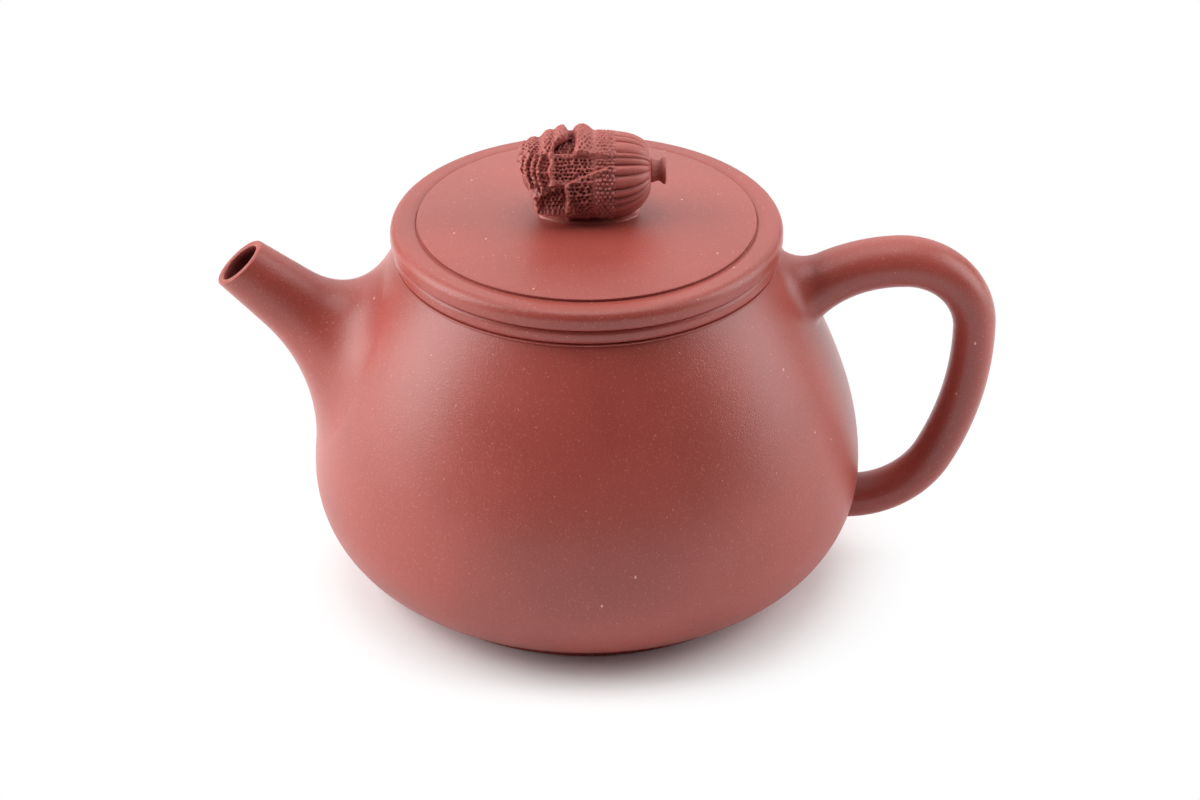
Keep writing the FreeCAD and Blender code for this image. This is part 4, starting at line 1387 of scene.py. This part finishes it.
    def heart_place(self, run: float, angle: float) -> tuple[float, float]:
        """Return the heart's radius, which swells where the top leaf leaves it open, and its painted shade.
        """
        low = math.degrees(math.remainder(angle - math.radians(self.taper_angle), math.tau))
        taper = self.heart_taper * math.exp(-(low / self.taper_width)**2)
        taper *= smoothstep(self.taper_start, self.taper_end, run)
        loose = smoothstep(self.loose_start, self.loose_end, run)
        plain = self.form.radius(run + self.heart_cut * loose) - self.heart_inset - taper
        plain = max(plain, self.least_radius)
        fold = self.heart_fold_depth * math.sin(self.heart_folds * angle / 2.0)**2
        ahead = (run - self.hollow_run) / self.hollow_length
        turn = math.degrees(math.remainder(angle, math.tau)) / self.hollow_width
        hollow = math.exp(-ahead**2 - turn**2)
        relief = self.skin.height(run, angle, plain)
        share = plain / self.form.stalk_radius
        sunk = (fold * loose - relief) * share - self.hollow_swell * hollow
        # Painted shade: the heart's pits and the cavity under the crown are darkened.
        mark = max(self.skin.darkness(run, relief), self.cavity_painted_shade * hollow)
        return plain - sunk, self.heart_painted_shade * mark

    def build_heart(self) -> None:
        """Roll the heart, flatten its seat, drill the vent and dress it."""
        length = self.form.length - self.heart_cut
        steps = math.ceil(length / self.heart_grid)
        sides = math.ceil(math.tau * self.form.stalk_radius / self.heart_grid)
        rows = [[self.form.point(0.0, 0.0, 0.0)] * (sides + 1)]
        # The heart's closed ends get full painted shade.
        painted_shades = [[1.0] * (sides + 1)]
        for step in range(steps + 1):
            run = length * step / steps
            row, marks = [], []
            for side in range(sides):
                angle = math.tau * side / sides
                radius, hollow = self.heart_place(run, angle)
                place = self.form.point(run, angle, radius)
                place.z = max(place.z, self.pad_top)
                row.append(place)
                marks.append(hollow)
            rows.append(row + [row[0].copy()])
            painted_shades.append(marks + marks[:1])
        rows.append([self.form.point(length, 0.0, 0.0)] * (sides + 1))
        painted_shades.append([1.0] * (sides + 1))
        piece = Bench.sheet("cabbage_heart_clay", rows, painted_shades)
        self.lid.vent(piece)
        dress(piece, Crease.LEAF, self.finishes.knob, Body.LID, Slot.KNOB, "cabbage_heart")

    def root_radius(self, share: float) -> float:
        """Return the cut root's radius at a share of its length from the neck."""
        waist = lerp(self.root_neck, self.root_waist, smoothstep(0.0, self.waist_end, share))
        flange = lerp(waist, self.root_flange, smoothstep(self.flange_start, self.flange_end, share))
        return flange - self.root_round * smoothstep(self.round_start, 1.0, share)

    def build_root(self) -> None:
        """Turn the cut root with its waist and thin flange and dress it."""
        sides, steps = self.root_sides, self.root_steps
        rows = []
        for step in range(steps + 1):
            share = step / steps
            row = []
            for side in range(sides):
                angle = math.tau * side / sides
                ripple = self.root_ripple * math.sin(self.ripple_count * angle + self.ripple_twist * share)
                row.append(self.form.point(0.0, angle, self.root_radius(share) + ripple)
                           + Vector((self.root_length * share, 0.0, 0.0)))
            rows.append(row + [row[0].copy()])
        middle = self.form.point(0.0, 0.0, 0.0)
        rows.insert(0, [middle] * (sides + 1))
        rows.append([middle + Vector((self.root_length, 0.0, 0.0))] * (sides + 1))
        piece = Bench.sheet("cabbage_root_clay", rows)
        dress(piece, Crease.ROLLED, self.finishes.knob, Body.LID, Slot.KNOB, "cabbage_root")

    def build_pad(self) -> None:
        """Lay the bed of slip, with a soft edge on the lid, and dress it."""
        foot = self.lid.top
        rim = self.lid.top + self.lid.cap_edge + self.lid.cap_rise
        profile = [(0.0, foot), (0.0, rim)]
        for step in range(1, self.pad_steps + 1):
            turn = math.pi / 2.0 * step / self.pad_steps
            profile.append((self.pad_roll * (1.0 - math.cos(turn)), rim + self.pad_edge * math.sin(turn)))
        profile.append((self.pad_inset, self.pad_top))
        count, phase, second_count = self.pad_waves
        rows = []
        for side in range(self.pad_sides + 1):
            angle = math.tau * (side % self.pad_sides) / self.pad_sides
            wave = math.sin(count * angle + phase) * math.cos(second_count * angle)
            wobble = 1.0 - self.pad_wobble * (1.0 + wave)
            along = math.copysign(abs(math.cos(angle))**self.pad_square, math.cos(angle)) * wobble
            across = math.copysign(abs(math.sin(angle))**self.pad_square, math.sin(angle)) * wobble
            row = [Vector((self.pad_x, 0.0, foot))]
            for inset, height in profile:
                row.append(Vector((self.pad_x + (self.pad_half_length - inset) * along,
                                   (self.pad_half_width - inset) * across, height)))
            rows.append(row + [Vector((self.pad_x, 0.0, self.pad_top))])
        piece = Bench.sheet("knob_slip", rows)
        self.lid.vent(piece)
        dress(piece, Crease.ROLLED, self.finishes.slip, Body.LID, Slot.SLIP, "knob_pad")

    def build(self) -> None:
        """Build the whole knob."""
        for leaf in self.leaves:
            self.build_leaf(leaf)
        self.build_heart()
        self.build_root()
        self.build_pad()


def look_at(item: Mesh, target: Vector) -> None:
    """Turn an object so that its -Z axis points at a target."""
    item.rotation_euler = (target - item.location).to_track_quat("-Z", "Y").to_euler()


@dataclass(frozen=True)
class Softbox:
    """A large soft lamp."""

    name: str
    place: tuple[float, float, float]
    width: float
    height: float
    power: float

    def build(self, target: Vector) -> None:
        """Hang the lamp and point it at the pot."""
        lamp = bpy.data.lights.new(self.name, "AREA")
        lamp.shape = "RECTANGLE"
        lamp.size = self.width
        lamp.size_y = self.height
        lamp.energy = self.power
        item = bpy.data.objects.new(self.name, lamp)
        item.location = self.place
        item.visible_camera = False
        bpy.context.scene.collection.objects.link(item)
        look_at(item, target)


@dataclass
class Studio:
    """Camera, lamps, sky and floor."""

    lens: float = 142.17
    sensor: float = 36.0
    camera_place: tuple[float, float, float] = (2.2 * MM, -694.4 * MM, 426.7 * MM)
    camera_pitch: float = 29.73
    clip_start: float = 0.01
    target: tuple[float, float, float] = (0.0, 0.0, 35.0 * MM)
    floor_size: float = 6.0
    floor_grey: float = 0.94
    floor_rough: float = 0.9
    sky: float = 0.03
    shade_radius: float = 0.034
    white_radius: float = 0.058
    lamps: tuple[Softbox, ...] = (
        Softbox("left_box", (-0.70, 0.0, 0.42), 0.60, 0.8, 9.4),
        Softbox("right_box", (0.75, 0.08, 0.40), 0.55, 0.8, 6.2),
        Softbox("back_box", (0.0, 0.90, 0.55), 1.8, 0.9, 7.9),
        Softbox("top_box", (0.0, 0.10, 0.90), 0.7, 0.7, 4.7),
    )

    def build_camera(self) -> None:
        """Set the camera where the photograph was taken."""
        data = bpy.data.cameras.new("camera")
        data.lens = self.lens
        data.sensor_width = self.sensor
        data.clip_start = self.clip_start
        camera = bpy.data.objects.new("camera", data)
        camera.location = self.camera_place
        camera.rotation_euler = (math.radians(90.0 - self.camera_pitch), 0.0, 0.0)
        bpy.context.scene.collection.objects.link(camera)
        bpy.context.scene.camera = camera

    def build_floor(self) -> None:
        """Lay the pale floor, which fades to white away from the pot."""
        Bench.clear()
        bpy.ops.mesh.primitive_plane_add(size=self.floor_size)
        floor = bpy.context.active_object
        floor.name = "floor"
        shader = Shader("pale_floor")
        grey = self.floor_grey
        seen = Value(shader, shader.node("ShaderNodeLightPath", {}, {}).outputs["Is Camera Ray"])
        shader.feed(shader.surface.inputs["Base Color"], (grey, grey, grey, 1.0))
        shader.feed(shader.surface.inputs["Roughness"], self.floor_rough)
        where = shader.node("ShaderNodeTexCoord", {}, {}).outputs["Object"]
        reach = shader.node("ShaderNodeVectorMath", {"operation": "LENGTH"}, {0: where})
        far = Value(shader, reach.outputs["Value"]).ramp(self.shade_radius, self.white_radius)
        white = shader.node("ShaderNodeEmission", {}, {"Color": WHITE, "Strength": 1.0})
        blend = shader.node("ShaderNodeMixShader", {},
                            {0: far * seen, 1: shader.surface.outputs[0], 2: white.outputs[0]})
        shader.feed(shader.output.inputs["Surface"], blend.outputs[0])
        floor.data.materials.append(shader.material)

    def build_sky(self) -> None:
        """Light the scene with an even sky that shows white behind the pot."""
        world = bpy.data.worlds.new("sky")
        bpy.context.scene.world = world
        world.use_nodes = True
        tree = world.node_tree
        background = tree.nodes["Background"]
        background.inputs["Color"].default_value = WHITE
        path = tree.nodes.new("ShaderNodeLightPath")
        level = tree.nodes.new("ShaderNodeMapRange")
        level.inputs["To Min"].default_value = self.sky
        level.inputs["To Max"].default_value = 1.0
        tree.links.new(path.outputs["Is Camera Ray"], level.inputs["Value"])
        tree.links.new(level.outputs[0], background.inputs["Strength"])

    def build(self) -> None:
        """Build the whole studio."""
        bpy.context.scene.view_settings.view_transform = "Standard"
        self.build_camera()
        self.build_floor()
        self.build_sky()
        for lamp in self.lamps:
            lamp.build(Vector(self.target))


def main() -> None:
    """Build the studio and the teapot piece by piece."""
    logging.basicConfig(level=logging.INFO, format="%(message)s")
    Studio().build()
    finishes = Finishes()
    wall = Wall()
    fillet = Fillet(wall)
    spout = Spout(fillet, finishes)
    pot = Pot(wall, finishes, spout)
    pot.build_wall()
    pot.build_mouth_ring()
    pot.dress_solids()
    spout.build()
    Handle(fillet, finishes).build()
    lid = Lid(finishes)
    lid.build_plate()
    lid.build_cap()
    lid.build_flange()
    Cabbage(finishes, lid).build()


if __name__ == "__main__":
    main()
